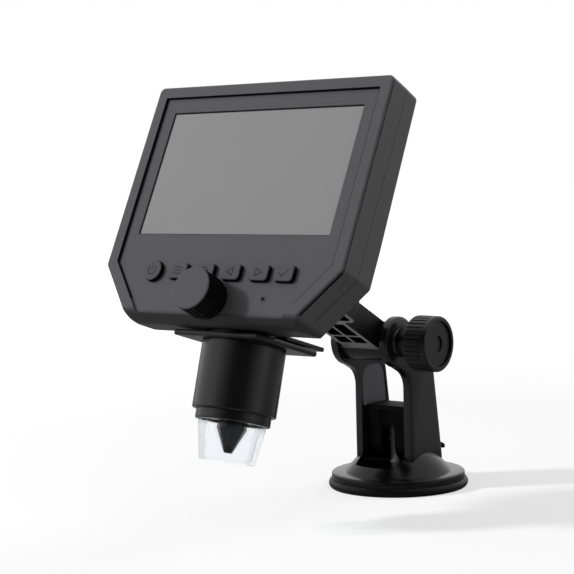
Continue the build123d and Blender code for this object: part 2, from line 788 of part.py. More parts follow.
rear_plane = Plane(
    origin=screen.from_local_coords((0, case_top, case_rim - case_depth)),
    x_dir=(-1, 0, 0),
    z_dir=-screen.z_dir * cos(radians(rear_lean)) + screen.y_dir * sin(radians(rear_lean)),
)
hump_plane = Plane(
    origin=barrel_origin + back_barrel * hump_back, x_dir=(-1, 0, 0), z_dir=back_barrel
)
bay_width = battery_width + 1.0
bay_height = battery_height + 1.0
cover_width = bay_width + 2 * cover_margin
cover_height = bay_height + 2 * cover_margin
rear_spot = (battery_centre - case_top) / cos(radians(rear_lean))
bay_floor = (
    at_rear_plane(battery_centre + battery_height / 2)
    + cover_thickness + slip_gap + battery_thickness
)
dimmer_x = -(case_half_width + dimmer_proud - dimmer_radius)
dimmer_back = parting - 3.4
with BuildPart() as rear_shell:
    with BuildSketch(screen.offset(parting)) as rear_outline:
        with BuildLine():
            Polyline(case_outline(0, case_bottom), close=True)
        make_face()
        fillet(rear_outline.vertices(), corner_radius)
    extrude(amount=-(case_depth + parting), taper=case_draft)
    split(bisect_by=rear_plane, keep=Keep.BOTTOM)
    fillet(
        rear_shell.edges().filter_by(
            lambda e: abs(rear_plane.to_local_coords(e.center()).Z) < 0.01
        ),
        1.2,
    )
    # Hump round the top of the barrel.
    with BuildSketch(hump_plane) as hump_sketch:
        with Locations((0, (hump_top + hump_bottom) / 2)):
            RectangleRounded(2 * hump_half_width, hump_top - hump_bottom, hump_corner)
    extrude(amount=-(hump_back + 5.0))
    fillet(
        rear_shell.edges().filter_by(
            lambda e: abs(hump_plane.to_local_coords(e.center()).Z) < 0.01
        ),
        2.5,
    )
    with BuildSketch(screen.offset(parting)):
        with BuildLine():
            Polyline(case_outline(case_wall, hollow_bottom), close=True)
        make_face()
        with Locations(*boss_spots):
            Circle(boss_radius, mode=Mode.SUBTRACT)
    extrude(amount=-(case_depth + parting - case_rim - case_wall), mode=Mode.SUBTRACT)
    with BuildSketch(hump_plane.offset(-case_wall)):
        with Locations((0, (hump_top + hump_bottom) / 2)):
            RectangleRounded(
                2 * (hump_half_width - case_wall),
                hump_top - hump_bottom - 2 * case_wall,
                hump_corner - case_wall,
            )
    extrude(amount=-(hump_back - case_wall + case_depth), mode=Mode.SUBTRACT)
    # Battery bay, open to the back, with a step for its cover.
    with BuildSketch(screen.offset(bay_floor + 1.2)):
        with Locations((0, battery_centre)):
            RectangleRounded(bay_width + 3, bay_height + 3, 2.0)
    extrude(amount=at_rear_plane(battery_centre + bay_height / 2) + 0.5 - bay_floor - 1.2)
    with BuildSketch(screen.offset(bay_floor)):
        with Locations((0, battery_centre)):
            RectangleRounded(bay_width, bay_height, 1.2)
    extrude(amount=-case_depth, mode=Mode.SUBTRACT)
    with BuildSketch(rear_plane):
        with Locations((0, rear_spot)):
            RectangleRounded(cover_width + slip_gap, cover_height + slip_gap, 2.5)
    extrude(amount=-cover_thickness, mode=Mode.SUBTRACT)
    # Screw passages with countersunk seats for their heads.
    with BuildSketch(screen.offset(parting)):
        with Locations(*boss_spots):
            Circle(screw_radius + run_gap)
    extrude(amount=-case_depth, mode=Mode.SUBTRACT)
    with BuildSketch(screen.offset(case_rim - case_depth + 3.0)):
        with Locations(*boss_spots):
            Circle(screw_head_radius + fit_gap)
    extrude(amount=-case_depth, mode=Mode.SUBTRACT)
    # Slot for the dimmer wheel.
    with BuildSketch(screen.offset(dimmer_back - 0.3)):
        with Locations((dimmer_x, dimmer_height)):
            Circle(dimmer_radius + slip_gap)
    extrude(amount=dimmer_thickness + 2 * slip_gap, mode=Mode.SUBTRACT)
    # Bracket screws enter the hump's back.
    with BuildSketch(bracket_face):
        with screw_spots:
            Circle(screw_radius + run_gap)
    extrude(amount=-bracket_screw_length - 4.0, mode=Mode.SUBTRACT)
    with BuildSketch(barrel):
        Circle(seat_radius + fit_gap)
    extrude(amount=barrel_step + slip_gap, mode=Mode.SUBTRACT)
    split(bisect_by=underside, keep=Keep.TOP)
export(rear_shell.part, "rear_shell")

with BuildPart() as battery_cover:
    with BuildSketch(rear_plane):
        with Locations((0, rear_spot)):
            RectangleRounded(cover_width - slip_gap, cover_height - slip_gap, 2.3)
    extrude(amount=-cover_thickness)
    with BuildSketch(rear_plane):
        with Locations((0, rear_spot + cover_height / 2 - 5)):
            with GridLocations(1, 1.6, 1, 4):
                Rectangle(14, 0.7)
    extrude(amount=-0.5, mode=Mode.SUBTRACT)
export(battery_cover.part, "battery_cover")

with BuildPart() as battery:
    with BuildSketch(screen.offset(bay_floor)):
        with Locations((0, battery_centre)):
            RectangleRounded(battery_width, battery_height, 1.5)
    extrude(amount=-battery_thickness)
    fillet(battery.edges().filter_by(Axis.X), 0.8)
export(battery.part, "battery")

case_screw_seat = case_rim - case_depth + 3.0
case_screw_length = panel_back - 2.5 - case_screw_seat
with BuildPart() as case_screws:
    with BuildSketch(screen.offset(case_screw_seat)):
        with Locations(*boss_spots):
            Circle(screw_head_radius)
    extrude(amount=-screw_head_height)
    with BuildSketch(screen.offset(case_screw_seat)):
        with Locations(*boss_spots):
            Circle(screw_radius)
    extrude(amount=case_screw_length)
export(case_screws.part, "case_screws")

# ---------- Display and electronics ----------
with BuildPart() as lcd_frame:
    with BuildSketch(screen):
        with Locations((0, lcd_middle)):
            Rectangle(lcd_width, lcd_height)
    extrude(amount=-lcd_thickness)
    with BuildSketch(screen):
        Rectangle(screen_width, screen_height)
    extrude(amount=-lcd_glass, mode=Mode.SUBTRACT)
export(lcd_frame.part, "lcd_frame")

with BuildPart() as lcd_glass_panel:
    with BuildSketch(screen):
        Rectangle(screen_width, screen_height)
    extrude(amount=-lcd_glass)
export(lcd_glass_panel.part, "lcd_glass")

board_left = -(case_half_width - case_wall - 1.4)
board_right = 50.5
board_back = -lcd_thickness - board_thickness
with BuildPart() as main_board:
    with BuildSketch(screen.offset(board_back)):
        with Locations(((board_left + board_right) / 2, -1.0)):
            RectangleRounded(board_right - board_left, 56.0, 1.5)
    extrude(amount=board_thickness)
    # Processor and memory on its back.
    with BuildSketch(screen.offset(board_back)):
        with Locations((34, -14)):
            Rectangle(12, 12)
        with Locations((34, -24)):
            Rectangle(9, 5)
    extrude(amount=-1.1)
export(main_board.part, "main_board")

button_x_all = button_x + [power_x]
with BuildPart() as button_board:
    with BuildSketch(screen.offset(button_board_face - board_thickness)):
        with Locations((0, button_height + 0.6)):
            RectangleRounded(2 * board_post_x + 5, 9.0, 1.0)
    extrude(amount=board_thickness)
export(button_board.part, "button_board")

with BuildPart() as tact_switches:
    with BuildSketch(screen.offset(button_board_face)):
        with Locations(*[(x, button_height) for x in button_x_all]):
            Rectangle(switch_size, switch_size)
    extrude(amount=switch_height - 0.5)
    with BuildSketch(screen.offset(button_board_face + switch_height - 0.5)):
        with Locations(*[(x, button_height) for x in button_x_all]):
            Circle(1.1)
    extrude(amount=0.5)
export(tact_switches.part, "tact_switches")


def make_key(name, x, shape, flange_shape):
    """A key cap with a collar that keeps it behind the panel."""
    with BuildPart() as key:
        with BuildSketch(screen.offset(panel_back)):
            with Locations((x, button_height)):
                shape()
        extrude(amount=case_wall + button_proud)
        fillet(key.faces().sort_by(Axis(screen.origin, screen.z_dir))[-1].edges(), 0.5)
        with BuildSketch(screen.offset(panel_back - 0.1 - button_flange_depth)):
            with Locations((x, button_height)):
                flange_shape()
        extrude(amount=button_flange_depth)
        with BuildSketch(screen.offset(panel_back - 0.1)):
            with Locations((x, button_height)):
                shape()
        extrude(amount=0.1)
    export(key.part, name)


make_key(
    "power_button",
    power_x,
    lambda: Circle(power_radius),
    lambda: Circle(power_radius + button_flange),
)
for key_name, key_x in zip(button_names, button_x):
    make_key(
        key_name,
        key_x,
        lambda: RectangleRounded(button_width, button_tall, button_corner),
        lambda: Rectangle(button_width + 2 * button_flange, button_tall + 2 * button_flange),
    )

with BuildPart() as usb_socket:
    with BuildSketch(
        Plane(origin=screen.from_local_coords((-case_half_width + 0.8, usb_height, board_back)),
              x_dir=screen.y_dir, z_dir=(1, 0, 0))
    ):
        with Locations((0, -usb_tall / 2)):
            RectangleRounded(usb_width, usb_tall, 0.8)
    extrude(amount=usb_depth)
    with BuildSketch(
        Plane(origin=screen.from_local_coords((-case_half_width + 0.8, usb_height, board_back)),
              x_dir=screen.y_dir, z_dir=(1, 0, 0))
    ):
        with Locations((0, -usb_tall / 2)):
            RectangleRounded(usb_width - 0.8, usb_tall - 0.8, 0.5)
    extrude(amount=usb_depth - 1.0, mode=Mode.SUBTRACT)
export(usb_socket.part, "usb_socket")

with BuildPart() as card_slot:
    with BuildSketch(
        Plane(origin=screen.from_local_coords((-case_half_width + 1.6, card_height, board_back)),
              x_dir=screen.y_dir, z_dir=(1, 0, 0))
    ):
        with Locations((0, -card_tall / 2)):
            Rectangle(card_width, card_tall)
    extrude(amount=card_depth)
    with BuildSketch(
        Plane(origin=screen.from_local_coords((-case_half_width + 1.6, card_height, board_back)),
              x_dir=screen.y_dir, z_dir=(1, 0, 0))
    ):
        with Locations((0, -card_tall / 2)):
            Rectangle(card_width - 1.6, card_tall - 0.9)
    extrude(amount=card_depth - 1.0, mode=Mode.SUBTRACT)
export(card_slot.part, "card_slot")

dimmer_front = dimmer_back + dimmer_thickness
with BuildPart() as dimmer_wheel:
    with BuildSketch(screen.offset(dimmer_back)):
        with Locations((dimmer_x, dimmer_height)):
            Circle(dimmer_radius)
            with PolarLocations(dimmer_radius + 0.15, dimmer_ribs):
                Circle(0.35, mode=Mode.SUBTRACT)
            Circle(1.2 + run_gap, mode=Mode.SUBTRACT)
    extrude(amount=dimmer_thickness)
export(dimmer_wheel.part, "dimmer_wheel")

with BuildPart() as dimmer_pot:
    with BuildSketch(screen.offset(dimmer_front + slip_gap)):
        with Locations((dimmer_x + 1.6, dimmer_height)):
            Rectangle(7.0, 8.0)
    extrude(amount=board_back - dimmer_front - slip_gap)
    with BuildSketch(screen.offset(dimmer_back + 0.2)):
        with Locations((dimmer_x, dimmer_height)):
            Circle(1.2)
    extrude(amount=dimmer_front + slip_gap + 0.5 - dimmer_back)
export(dimmer_pot.part, "dimmer_pot")

# ---------- Barrel ----------
inner_radius = barrel_radius - barrel_wall
guide_radius = carriage_radius + run_gap
slim_inner = slim_radius - barrel_wall
with BuildPart() as barrel_tube:
    with BuildSketch(barrel_front):
        with BuildLine():
            Polyline(
                (inner_radius, barrel_bottom),
                (barrel_radius, barrel_bottom),
                (barrel_radius, collar_height),
                (seat_radius, collar_height),
                (seat_radius, barrel_step),
                (slim_radius, barrel_step),
                (slim_radius, barrel_top),
                (slim_inner, barrel_top),
                (slim_inner, upper_guide + guide_length),
                (guide_radius, upper_guide + guide_length),
                (guide_radius, upper_guide),
                (slim_inner, upper_guide),
                (slim_inner, barrel_step - barrel_wall),
                (inner_radius, barrel_step - barrel_wall),
                (inner_radius, lower_guide + guide_length),
                (guide_radius, lower_guide + guide_length),
                (guide_radius, lower_guide),
                (inner_radius, lower_guide),
                close=True,
            )
        make_face()
    revolve(axis=barrel_axis)
    outer_rim = barrel_tube.edges().filter_by(
        lambda e: e.geom_type == GeomType.CIRCLE
        and abs(e.radius - barrel_radius) < 0.01
        and barrel.to_local_coords(e.arc_center).Z < 0
    )
    fillet(outer_rim, barrel_edge)
    # Hole for the focus shaft through the front wall.
    with BuildSketch(focus_line):
        Circle(shaft_radius + run_gap)
    extrude(amount=-20, mode=Mode.SUBTRACT)
export(barrel_tube.part, "barrel_tube")

bezel_bottom = barrel_bottom - bezel_height
lamp_seat = bezel_bottom + 1.5
with BuildPart() as lamp_bezel:
    with BuildSketch(barrel_front):
        with BuildLine():
            Polyline(
                (cap_top_radius - 1.3, bezel_bottom),
                (bezel_radius, bezel_bottom),
                (bezel_radius, barrel_bottom),
                (inner_radius - run_gap, barrel_bottom),
                (inner_radius - run_gap, barrel_bottom + bezel_spigot),
                (inner_radius - 1.4, barrel_bottom + bezel_spigot),
                (inner_radius - 1.4, lamp_seat),
                (cap_top_radius - 1.3, lamp_seat),
                close=True,
            )
        make_face()
    revolve(axis=barrel_axis)
    fillet(
        lamp_bezel.edges().filter_by(
            lambda e: e.geom_type == GeomType.CIRCLE and abs(e.radius - bezel_radius) < 0.01
        ).sort_by(Axis.Z)[0],
        0.5,
    )
export(lamp_bezel.part, "lamp_bezel")

with BuildPart() as lamp_board:
    with BuildSketch(barrel.offset(lamp_seat)):
        Circle(inner_radius - 1.4 - run_gap)
        Circle(nose_base_radius + slip_gap, mode=Mode.SUBTRACT)
    extrude(amount=lamp_board_thickness)
export(lamp_board.part, "lamp_board")

with BuildPart() as lamps:
    with BuildSketch(barrel.offset(lamp_seat)):
        with PolarLocations(lamp_radius, lamp_count):
            Rectangle(lamp_size, lamp_size)
    extrude(amount=-0.7)
export(lamps.part, "lamps")

cap_top = bezel_bottom - run_gap
spigot_radius = cap_top_radius - 1.3 - fit_gap
with BuildPart() as clear_cap:
    with BuildSketch(barrel_front):
        with BuildLine():
            Polyline(
                (spigot_radius, bezel_bottom + 1.1),
                (spigot_radius, cap_top),
                (cap_top_radius, cap_top),
                (cap_bottom_radius, cap_top - cap_length),
                (cap_bottom_radius - cap_lip, cap_top - cap_length),
                (cap_bottom_radius - cap_lip, cap_top - cap_length + cap_wall),
                (cap_bottom_radius - cap_wall, cap_top - cap_length + cap_wall),
                (spigot_radius - cap_wall, cap_top - 1.0),
                (spigot_radius - cap_wall, bezel_bottom + 1.1),
                close=True,
            )
        make_face()
    revolve(axis=barrel_axis)
export(clear_cap.part, "clear_cap")

# ---------- Moving lens ----------
shoulder = lamp_seat + lamp_board_thickness + focus_down + slip_gap
carriage_top = upper_guide + guide_length + 3.0
lens_tilt = radians(screen_lean)
rack_root = tooth_module * (pinion_teeth / 2 + 1.25)
rack_tip = tooth_module * (pinion_teeth / 2 - 1)
tooth_pitch = pi * tooth_module
tooth_half = 0.19 * tooth_pitch
tooth_slope = tan(radians(20))
pinion_radius = tooth_module * pinion_teeth / 2
pinion_rise = (
    screen_rise + focus_height * cos(lens_tilt)
    + (pinion_depth + pinion_width / 2) * sin(lens_tilt)
)
rack_inner = 4.35
rack_outer = 8.25


def rack_depth(height, distance):
    """Depth behind the display of a point at a distance in front of the optical axis."""
    return (distance - screen_forward + height * sin(lens_tilt)) / cos(lens_tilt)


with BuildPart() as lens_carriage:
    with BuildSketch(barrel.offset(shoulder)):
        Circle(carriage_radius)
        Circle(lens_bore - 0.4, mode=Mode.SUBTRACT)
    extrude(amount=carriage_top - shoulder)
    # Pocket beside the rack, long enough for the whole travel.
    tip_radius = pinion_radius + tooth_module
    pocket_low = pinion_rise - focus_up - tip_radius - 0.6
    pocket_high = pinion_rise + focus_down + tip_radius + 0.6
    with BuildSketch(barrel.offset(pocket_low)):
        with Locations(((tip_radius + slip_gap - rack_root) / 2, -rack_inner - 3.5)):
            Rectangle(tip_radius + slip_gap + rack_root, 7.0)
    extrude(amount=pocket_high - pocket_low, mode=Mode.SUBTRACT)
    # Rack: each tooth runs parallel to the pinion's axis.
    for step in range(-7, 4):
        tooth_y = focus_height + (step + 0.5) * tooth_pitch
        with BuildSketch(screen.offset(rack_depth(tooth_y, rack_inner))):
            with BuildLine():
                Polyline(
                    (-rack_root - 0.3, tooth_y - tooth_half - 1.55 * tooth_module * tooth_slope),
                    (-rack_tip, tooth_y - tooth_half + tooth_module * tooth_slope),
                    (-rack_tip, tooth_y + tooth_half - tooth_module * tooth_slope),
                    (-rack_root - 0.3, tooth_y + tooth_half + 1.55 * tooth_module * tooth_slope),
                    close=True,
                )
            make_face()
        extrude(amount=(rack_outer - rack_inner) / cos(lens_tilt))
export(lens_carriage.part, "lens_carriage")

with BuildPart() as lens_nose:
    with BuildSketch(barrel_front):
        with BuildLine():
            Polyline(
                (lens_bore, shoulder),
                (nose_base_radius, shoulder),
                (nose_base_radius, nose_start),
                (nose_tip_radius, nose_start - nose_length),
                (nose_tip_radius - 0.7, nose_start - nose_length),
                (nose_tip_radius - 0.7, nose_start - 1.0),
                (lens_bore, nose_start - 0.6),
                close=True,
            )
        make_face()
    revolve(axis=barrel_axis)
export(lens_nose.part, "lens_nose")

with BuildPart() as objective_lens:
    with BuildSketch(barrel_front):
        with BuildLine():
            low = nose_start - 0.55
            Polyline(
                (0, low + lens_thickness),
                (0, low),
                (lens_radius, low),
                (lens_radius, low + lens_thickness - lens_dome),
            )
            RadiusArc(
                (lens_radius, low + lens_thickness - lens_dome),
                (0, low + lens_thickness),
                -arc_radius(lens_radius, lens_dome),
            )
        make_face()
    revolve(axis=barrel_axis)
export(objective_lens.part, "objective_lens")

# ---------- Focus knob, shaft and pinion ----------
with BuildPart() as focus_pinion:
    with BuildSketch(focus_line.offset(pinion_depth)) as gear:
        Circle(pinion_radius - 1.25 * tooth_module)
        with PolarLocations(0, pinion_teeth):
            with BuildLine(mode=Mode.PRIVATE) as tooth:
                Polyline(
                    (0.8, -tooth_half - (pinion_radius - 0.8) * tooth_slope * 0.6),
                    (pinion_radius + tooth_module, -tooth_half + tooth_module * tooth_slope),
                    (pinion_radius + tooth_module, tooth_half - tooth_module * tooth_slope),
                    (0.8, tooth_half + (pinion_radius - 0.8) * tooth_slope * 0.6),
                    close=True,
                )
            make_face(tooth.line)
        Circle(shaft_radius + 0.02, mode=Mode.SUBTRACT)
    extrude(amount=pinion_width)
export(focus_pinion.part, "focus_pinion")

knob_back = panel_face + slip_gap
with BuildPart() as focus_shaft:
    with BuildSketch(focus_line.offset(pinion_depth)):
        Circle(shaft_radius)
    extrude(amount=knob_back + focus_collar + 5.0 - pinion_depth)
export(focus_shaft.part, "focus_shaft")

with BuildPart() as focus_knob:
    with BuildSketch(focus_line.offset(knob_back)):
        Circle(focus_collar_radius)
    extrude(amount=focus_collar)
    with BuildSketch(focus_line.offset(knob_back + focus_collar)):
        Circle(focus_radius - focus_rib_radius)
        with PolarLocations(focus_radius - focus_rib_radius, focus_ribs):
            Circle(focus_rib_radius)
    extrude(amount=focus_grip)
    with BuildSketch(focus_line.offset(knob_back + focus_collar + focus_grip)):
        Circle(focus_radius - 0.2)
    extrude(amount=1.2)
    fillet(
        focus_knob.faces().sort_by(Axis(focus_line.origin, focus_line.z_dir))[-1].edges(), 0.4
    )
    with BuildSketch(focus_line.offset(knob_back)):
        Circle(shaft_radius + 0.02)
    extrude(amount=focus_collar + 5.2, mode=Mode.SUBTRACT)
export(focus_knob.part, "focus_knob")

# ---------- Sensor on top of the barrel ----------
with BuildPart() as sensor_board:
    with BuildSketch(barrel.offset(barrel_top)):
        RectangleRounded(22.0, 22.0, 2.0)
    extrude(amount=1.2)
export(sensor_board.part, "sensor_board")

with BuildPart() as image_sensor:
    with BuildSketch(barrel.offset(barrel_top)):
        Rectangle(9.0, 9.0)
    extrude(amount=-1.2)
export(image_sensor.part, "image_sensor")

# ---------- Collar plates under the housing ----------
with BuildPart() as collar_plate:
    with BuildSketch(barrel.offset(collar_height)):
        with Locations((0, (collar_back - collar_front) / 2)):
            RectangleRounded(2 * collar_half_width, collar_front + collar_back, collar_corner)
        Circle(seat_radius + run_gap, mode=Mode.SUBTRACT)
    extrude(amount=collar_thickness)
export(collar_plate.part, "collar_plate")

ledge_low = collar_height + collar_thickness + 0.8
with BuildPart() as collar_ledge:
    with BuildSketch(barrel.offset(ledge_low)):
        with Locations((0, ledge_back / 2)):
            Rectangle(2 * collar_half_width, ledge_back)
        Circle(seat_radius + run_gap, mode=Mode.SUBTRACT)
    extrude(amount=ledge_thickness)
export(collar_ledge.part, "collar_ledge")
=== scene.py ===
from math import cos, pi, radians, sin, tau
from typing import NamedTuple

import bmesh
import bpy
from mathutils import Matrix, Vector


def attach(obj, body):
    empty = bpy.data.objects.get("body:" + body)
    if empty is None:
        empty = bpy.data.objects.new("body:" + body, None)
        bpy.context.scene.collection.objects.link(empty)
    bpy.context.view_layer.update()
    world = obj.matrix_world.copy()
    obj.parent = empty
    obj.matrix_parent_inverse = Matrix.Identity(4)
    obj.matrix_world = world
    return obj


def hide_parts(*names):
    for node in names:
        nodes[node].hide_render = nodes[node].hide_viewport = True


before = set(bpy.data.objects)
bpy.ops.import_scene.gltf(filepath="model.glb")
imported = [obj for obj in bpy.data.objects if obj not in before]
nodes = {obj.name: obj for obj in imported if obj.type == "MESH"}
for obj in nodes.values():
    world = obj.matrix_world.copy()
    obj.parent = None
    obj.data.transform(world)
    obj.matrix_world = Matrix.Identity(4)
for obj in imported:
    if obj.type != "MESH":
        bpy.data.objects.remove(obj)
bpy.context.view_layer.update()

MM = 0.001

# ---------- Where things are, as the solids have them ----------
rightward, upward = Vector((1, 0, 0)), Vector((0, 0, 1))

display_centre = Vector((0, -99.738, 141.109)) * MM
display_lean = radians(26.9)
display_up = Vector((0, sin(display_lean), cos(display_lean)))
display_out = Vector((0, -cos(display_lean), sin(display_lean)))

barrel_datum = Vector((0, -105.6955, 72.0576)) * MM
barrel_lean = radians(16.5)
barrel_back = Vector((0, cos(barrel_lean), -sin(barrel_lean)))
barrel_up = Vector((0, sin(barrel_lean), cos(barrel_lean)))

pivot_y, pivot_z = -17.8, 66.2
arm_lean = radians(28.4)
arm_thickness = 12.0
arm_normal = Vector((0, sin(arm_lean), cos(arm_lean)))
arm_underside = (Vector((0, pivot_y, pivot_z)).dot(arm_normal) - arm_thickness / 2) * MM


def frame_matrix(origin, across, up, out):
    """Matrix that carries local x, y, z onto three directions at a place."""
    turn = Matrix((across, up, out)).transposed().to_4x4()
    return Matrix.Translation(origin) @ turn


# Display frame: x right, y up along the display, z out of it.
display = frame_matrix(display_centre, rightward, display_up, display_out)
# Barrel frame: x right, y back, z up along the optical axis.
barrel = frame_matrix(barrel_datum, rightward, barrel_back, barrel_up)
# Stand frame: the same axes as the whole object.
upright = Matrix.Identity(4)


# ---------- Materials ----------
cloud_mm = 9.0
soft_edge_mm = 0.25


class Zone(NamedTuple):
    """The part of a moulding below a height along a direction, with a finish of its own.

    Its border takes passage_mm to either side; with band_mm the zone is only what lies that
    near to the height.
    """

    direction: Vector
    height: float
    colour: str
    sheen: float = 0.12
    passage_mm: float = 0.03
    band_mm: float = 0.0


def linear(code):
    """A hex sRGB colour as the shader's linear red, green, blue and alpha."""
    parts = [int(code[i : i + 2], 16) / 255 for i in (1, 3, 5)]
    return [c / 12.92 if c <= 0.04045 else ((c + 0.055) / 1.055) ** 2.4 for c in parts] + [1]


def add(tree, kind, sockets=None, **settings):
    """Adds a node; each socket takes a value, or a link where it is given another node's output."""
    made = tree.nodes.new("ShaderNode" + kind)
    for name, value in settings.items():
        setattr(made, name, value)
    for name, value in (sockets or {}).items():
        if isinstance(value, bpy.types.NodeSocket):
            tree.links.new(value, made.inputs[name])
        else:
            made.inputs[name].default_value = value
    return made


def new_material(name):
    """An empty material with its node tree and its object coordinates."""
    made = bpy.data.materials.new(name)
    made.use_nodes = True
    tree = made.node_tree
    tree.nodes.clear()
    return made, tree, add(tree, "TexCoord").outputs["Object"]


def finish_material(tree, sockets):
    """Ends a material with its shader."""
    shader = add(tree, "BsdfPrincipled", sockets)
    add(tree, "OutputMaterial", {"Surface": shader.outputs[0]})


def outside(tree, place, zone):
    """One outside a zone and zero in it."""
    along = add(tree, "VectorMath", {0: place, 1: zone.direction}, operation="DOT_PRODUCT")
    reach, edge = along.outputs["Value"], zone.height
    if zone.band_mm:
        past = add(tree, "Math", {0: reach, 1: edge}, operation="SUBTRACT")
        reach = add(tree, "Math", {0: past.outputs[0]}, operation="ABSOLUTE").outputs[0]
        edge = zone.band_mm * MM
    passage = zone.passage_mm * MM
    border = {"Value": reach, "From Min": edge - passage, "From Max": edge + passage}
    return add(tree, "MapRange", border).outputs[0]


def moulded(name, colour, dark, roughness, grain_mm, depth_mm, specular=0.5, zone=None):
    """Moulded plastic or rubber: an eroded grain, faint cloudy colour and uneven gloss.

    Edges are softened in the shading. A zone may have a colour and a sheen of its own.
    """
    made, tree, place = new_material(name)
    clouds = add(tree, "TexNoise", {"Vector": place, "Scale": 1 / (cloud_mm * MM), "Detail": 3.0})
    colours = {"Factor": clouds.outputs["Fac"], "A": linear(dark), "B": linear(colour)}
    tint = add(tree, "Mix", colours, data_type="RGBA").outputs["Result"]
    if zone:
        beyond = outside(tree, place, zone)
        colours = {"Factor": beyond, "A": linear(zone.colour), "B": tint}
        tint = add(tree, "Mix", colours, data_type="RGBA").outputs["Result"]
        sheens = {"Value": beyond, "To Min": zone.sheen, "To Max": specular}
        specular = add(tree, "MapRange", sheens).outputs[0]
    grain = add(
        tree,
        "TexNoise",
        {"Vector": place, "Scale": 1 / (grain_mm * MM), "Detail": 2.0, "Roughness": 0.6},
    ).outputs["Fac"]
    gloss = add(
        tree,
        "MapRange",
        {
            "Value": grain,
            "From Min": 0.3,
            "From Max": 0.7,
            "To Min": roughness * 0.87,
            "To Max": roughness * 1.16,
        },
    )
    soft = add(tree, "Bevel", {"Radius": soft_edge_mm * MM}, samples=4)
    bump = add(
        tree,
        "Bump",
        {"Height": grain, "Distance": depth_mm * MM, "Strength": 0.6, "Normal": soft.outputs[0]},
    )
    finish_material(
        tree,
        {
            "Base Color": tint,
            "Roughness": gloss.outputs[0],
            "Specular IOR Level": specular,
            "Normal": bump.outputs[0],
        },
    )
    return made


def thin_acrylic():
    """Thin clear acrylic: most light goes straight through, the rest bends and shines."""
    made, tree, _ = new_material("clear_acrylic")
    straight = add(tree, "BsdfTransparent", {"Color": linear("#FCFDFE")})
    # The index is below acrylic's own 1.49, so that the thin wall stays faint.
    bent = add(
        tree,
        "BsdfPrincipled",
        {
            "Base Color": linear("#FDFEFF"),
            "Transmission Weight": 1.0,
            "IOR": 1.2,
            "Roughness": 0.02,
        },
    )
    facing = add(tree, "LayerWeight", {"Blend": 0.25}).outputs["Facing"]
    share = add(tree, "MapRange", {"Value": facing, "To Min": 0.1, "To Max": 0.45})
    both = {0: share.outputs[0], 1: straight.outputs[0], 2: bent.outputs[0]}
    add(tree, "OutputMaterial", {"Surface": add(tree, "MixShader", both).outputs[0]})
    return made


def polished_glass():
    """Ground and polished crown glass."""
    made, tree, _ = new_material("crown_glass")
    finish_material(
        tree,
        {
            "Base Color": linear("#EAF4FF"),
            "Transmission Weight": 1.0,
            "IOR": 1.52,
            "Roughness": 0.0,
        },
    )
    return made


def display_glass():
    """Unlit liquid crystal panel under its polariser."""
    made, tree, place = new_material("unlit_display")
    haze = add(tree, "TexNoise", {"Vector": place, "Scale": 1 / (30 * MM), "Detail": 2.0})
    colours = {"Factor": haze.outputs["Fac"], "A": linear("#888888"), "B": linear("#8B8B8B")}
    tint = add(tree, "Mix", colours, data_type="RGBA").outputs["Result"]
    finish_material(tree, {"Base Color": tint, "Roughness": 0.35, "Specular IOR Level": 0.15})
    return made


def metal(name, colour, roughness, marks_mm, narrowing=1.0):
    """Machined or plated metal with tool marks, which may be narrower in y and z than in x."""
    made, tree, place = new_material(name)
    run = add(tree, "Mapping", {"Vector": place, "Scale": (1, narrowing, narrowing)}).outputs[0]
    marks = add(
        tree, "TexNoise", {"Vector": run, "Scale": 1 / (marks_mm * MM), "Detail": 3.0}
    ).outputs["Fac"]
    spread = {"Value": marks, "To Min": roughness - 0.08, "To Max": roughness + 0.12}
    gloss = add(tree, "MapRange", spread)
    bump = add(tree, "Bump", {"Height": marks, "Distance": 0.01 * MM, "Strength": 0.4})
    finish_material(
        tree,
        {
            "Base Color": linear(colour),
            "Metallic": 1.0,
            "Roughness": gloss.outputs[0],
            "Normal": bump.outputs[0],
        },
    )
    return made


def circuit_board():
    """Solder mask over copper: fields of 3 by 1.5 mm between darker tracks."""
    made, tree, place = new_material("solder_mask_green")
    # A field of this pattern is half its scale long and a quarter of it high.
    pattern_mm = 6
    tracks = add(
        tree,
        "TexBrick",
        {
            "Vector": place,
            "Color1": linear("#14512B"),
            "Color2": linear("#17592F"),
            "Mortar": linear("#0D3A1E"),
            "Scale": 1 / (pattern_mm * MM),
            "Mortar Size": 0.03,
        },
    )
    finish_material(tree, {"Base Color": tracks.outputs["Color"], "Roughness": 0.25})
    return made


# Heights on the display's axes where a finish changes, in millimetres from its centre; at the chin
# and round the keys the change is painted shade.
chin_top = -60.6
knob_front_edge = 13.2
key_front_edge = 2.35
# The yoke's base below this height is coloured blacker than its legs, with less sheen.
yoke_base_top = 15.2


def height_up(rise):
    """A height along the display as a distance along its upward direction."""
    return display_centre.dot(display_up) + rise * MM


def height_out(rise):
    """A height above the picture's plane as a distance along the display's direction."""
    return display_centre.dot(display_out) + rise * MM


# The grains of the mouldings and the tool marks of the metals are drawn two or three times as
# coarse as the real ones, which are too fine to show.

# ABS of the housing, moulded in a spark-eroded tool: a dry, even charcoal with a fine grain.
# The chin under the keys carries painted shade: it is coloured darker than the panel, with less
# sheen, as its faces turned down lie in shade.
charcoal_abs = moulded(
    "charcoal_abs_eroded",
    "#4C4C4E",
    "#464648",
    0.5,
    0.5,
    0.03,
    zone=Zone(display_up, height_up(chin_top), "#2A2A2C", sheen=0.35, passage_mm=0.9),
)
# ABS of the bracket and the collar: black, its grain polished thin, with a broad cold sheen.
black_abs = moulded("black_abs_eroded", "#141415", "#0F0F10", 0.36, 0.6, 0.02, specular=0.4)
# ABS of the yoke: dark grey legs with a tight sheen over a blacker base.
yoke_abs = moulded(
    "black_abs_yoke",
    "#1B1B1D",
    "#161618",
    0.2,
    0.6,
    0.004,
    specular=0.4,
    zone=Zone(upward, yoke_base_top * MM, "#050505", sheen=0.3, passage_mm=0.9),
)
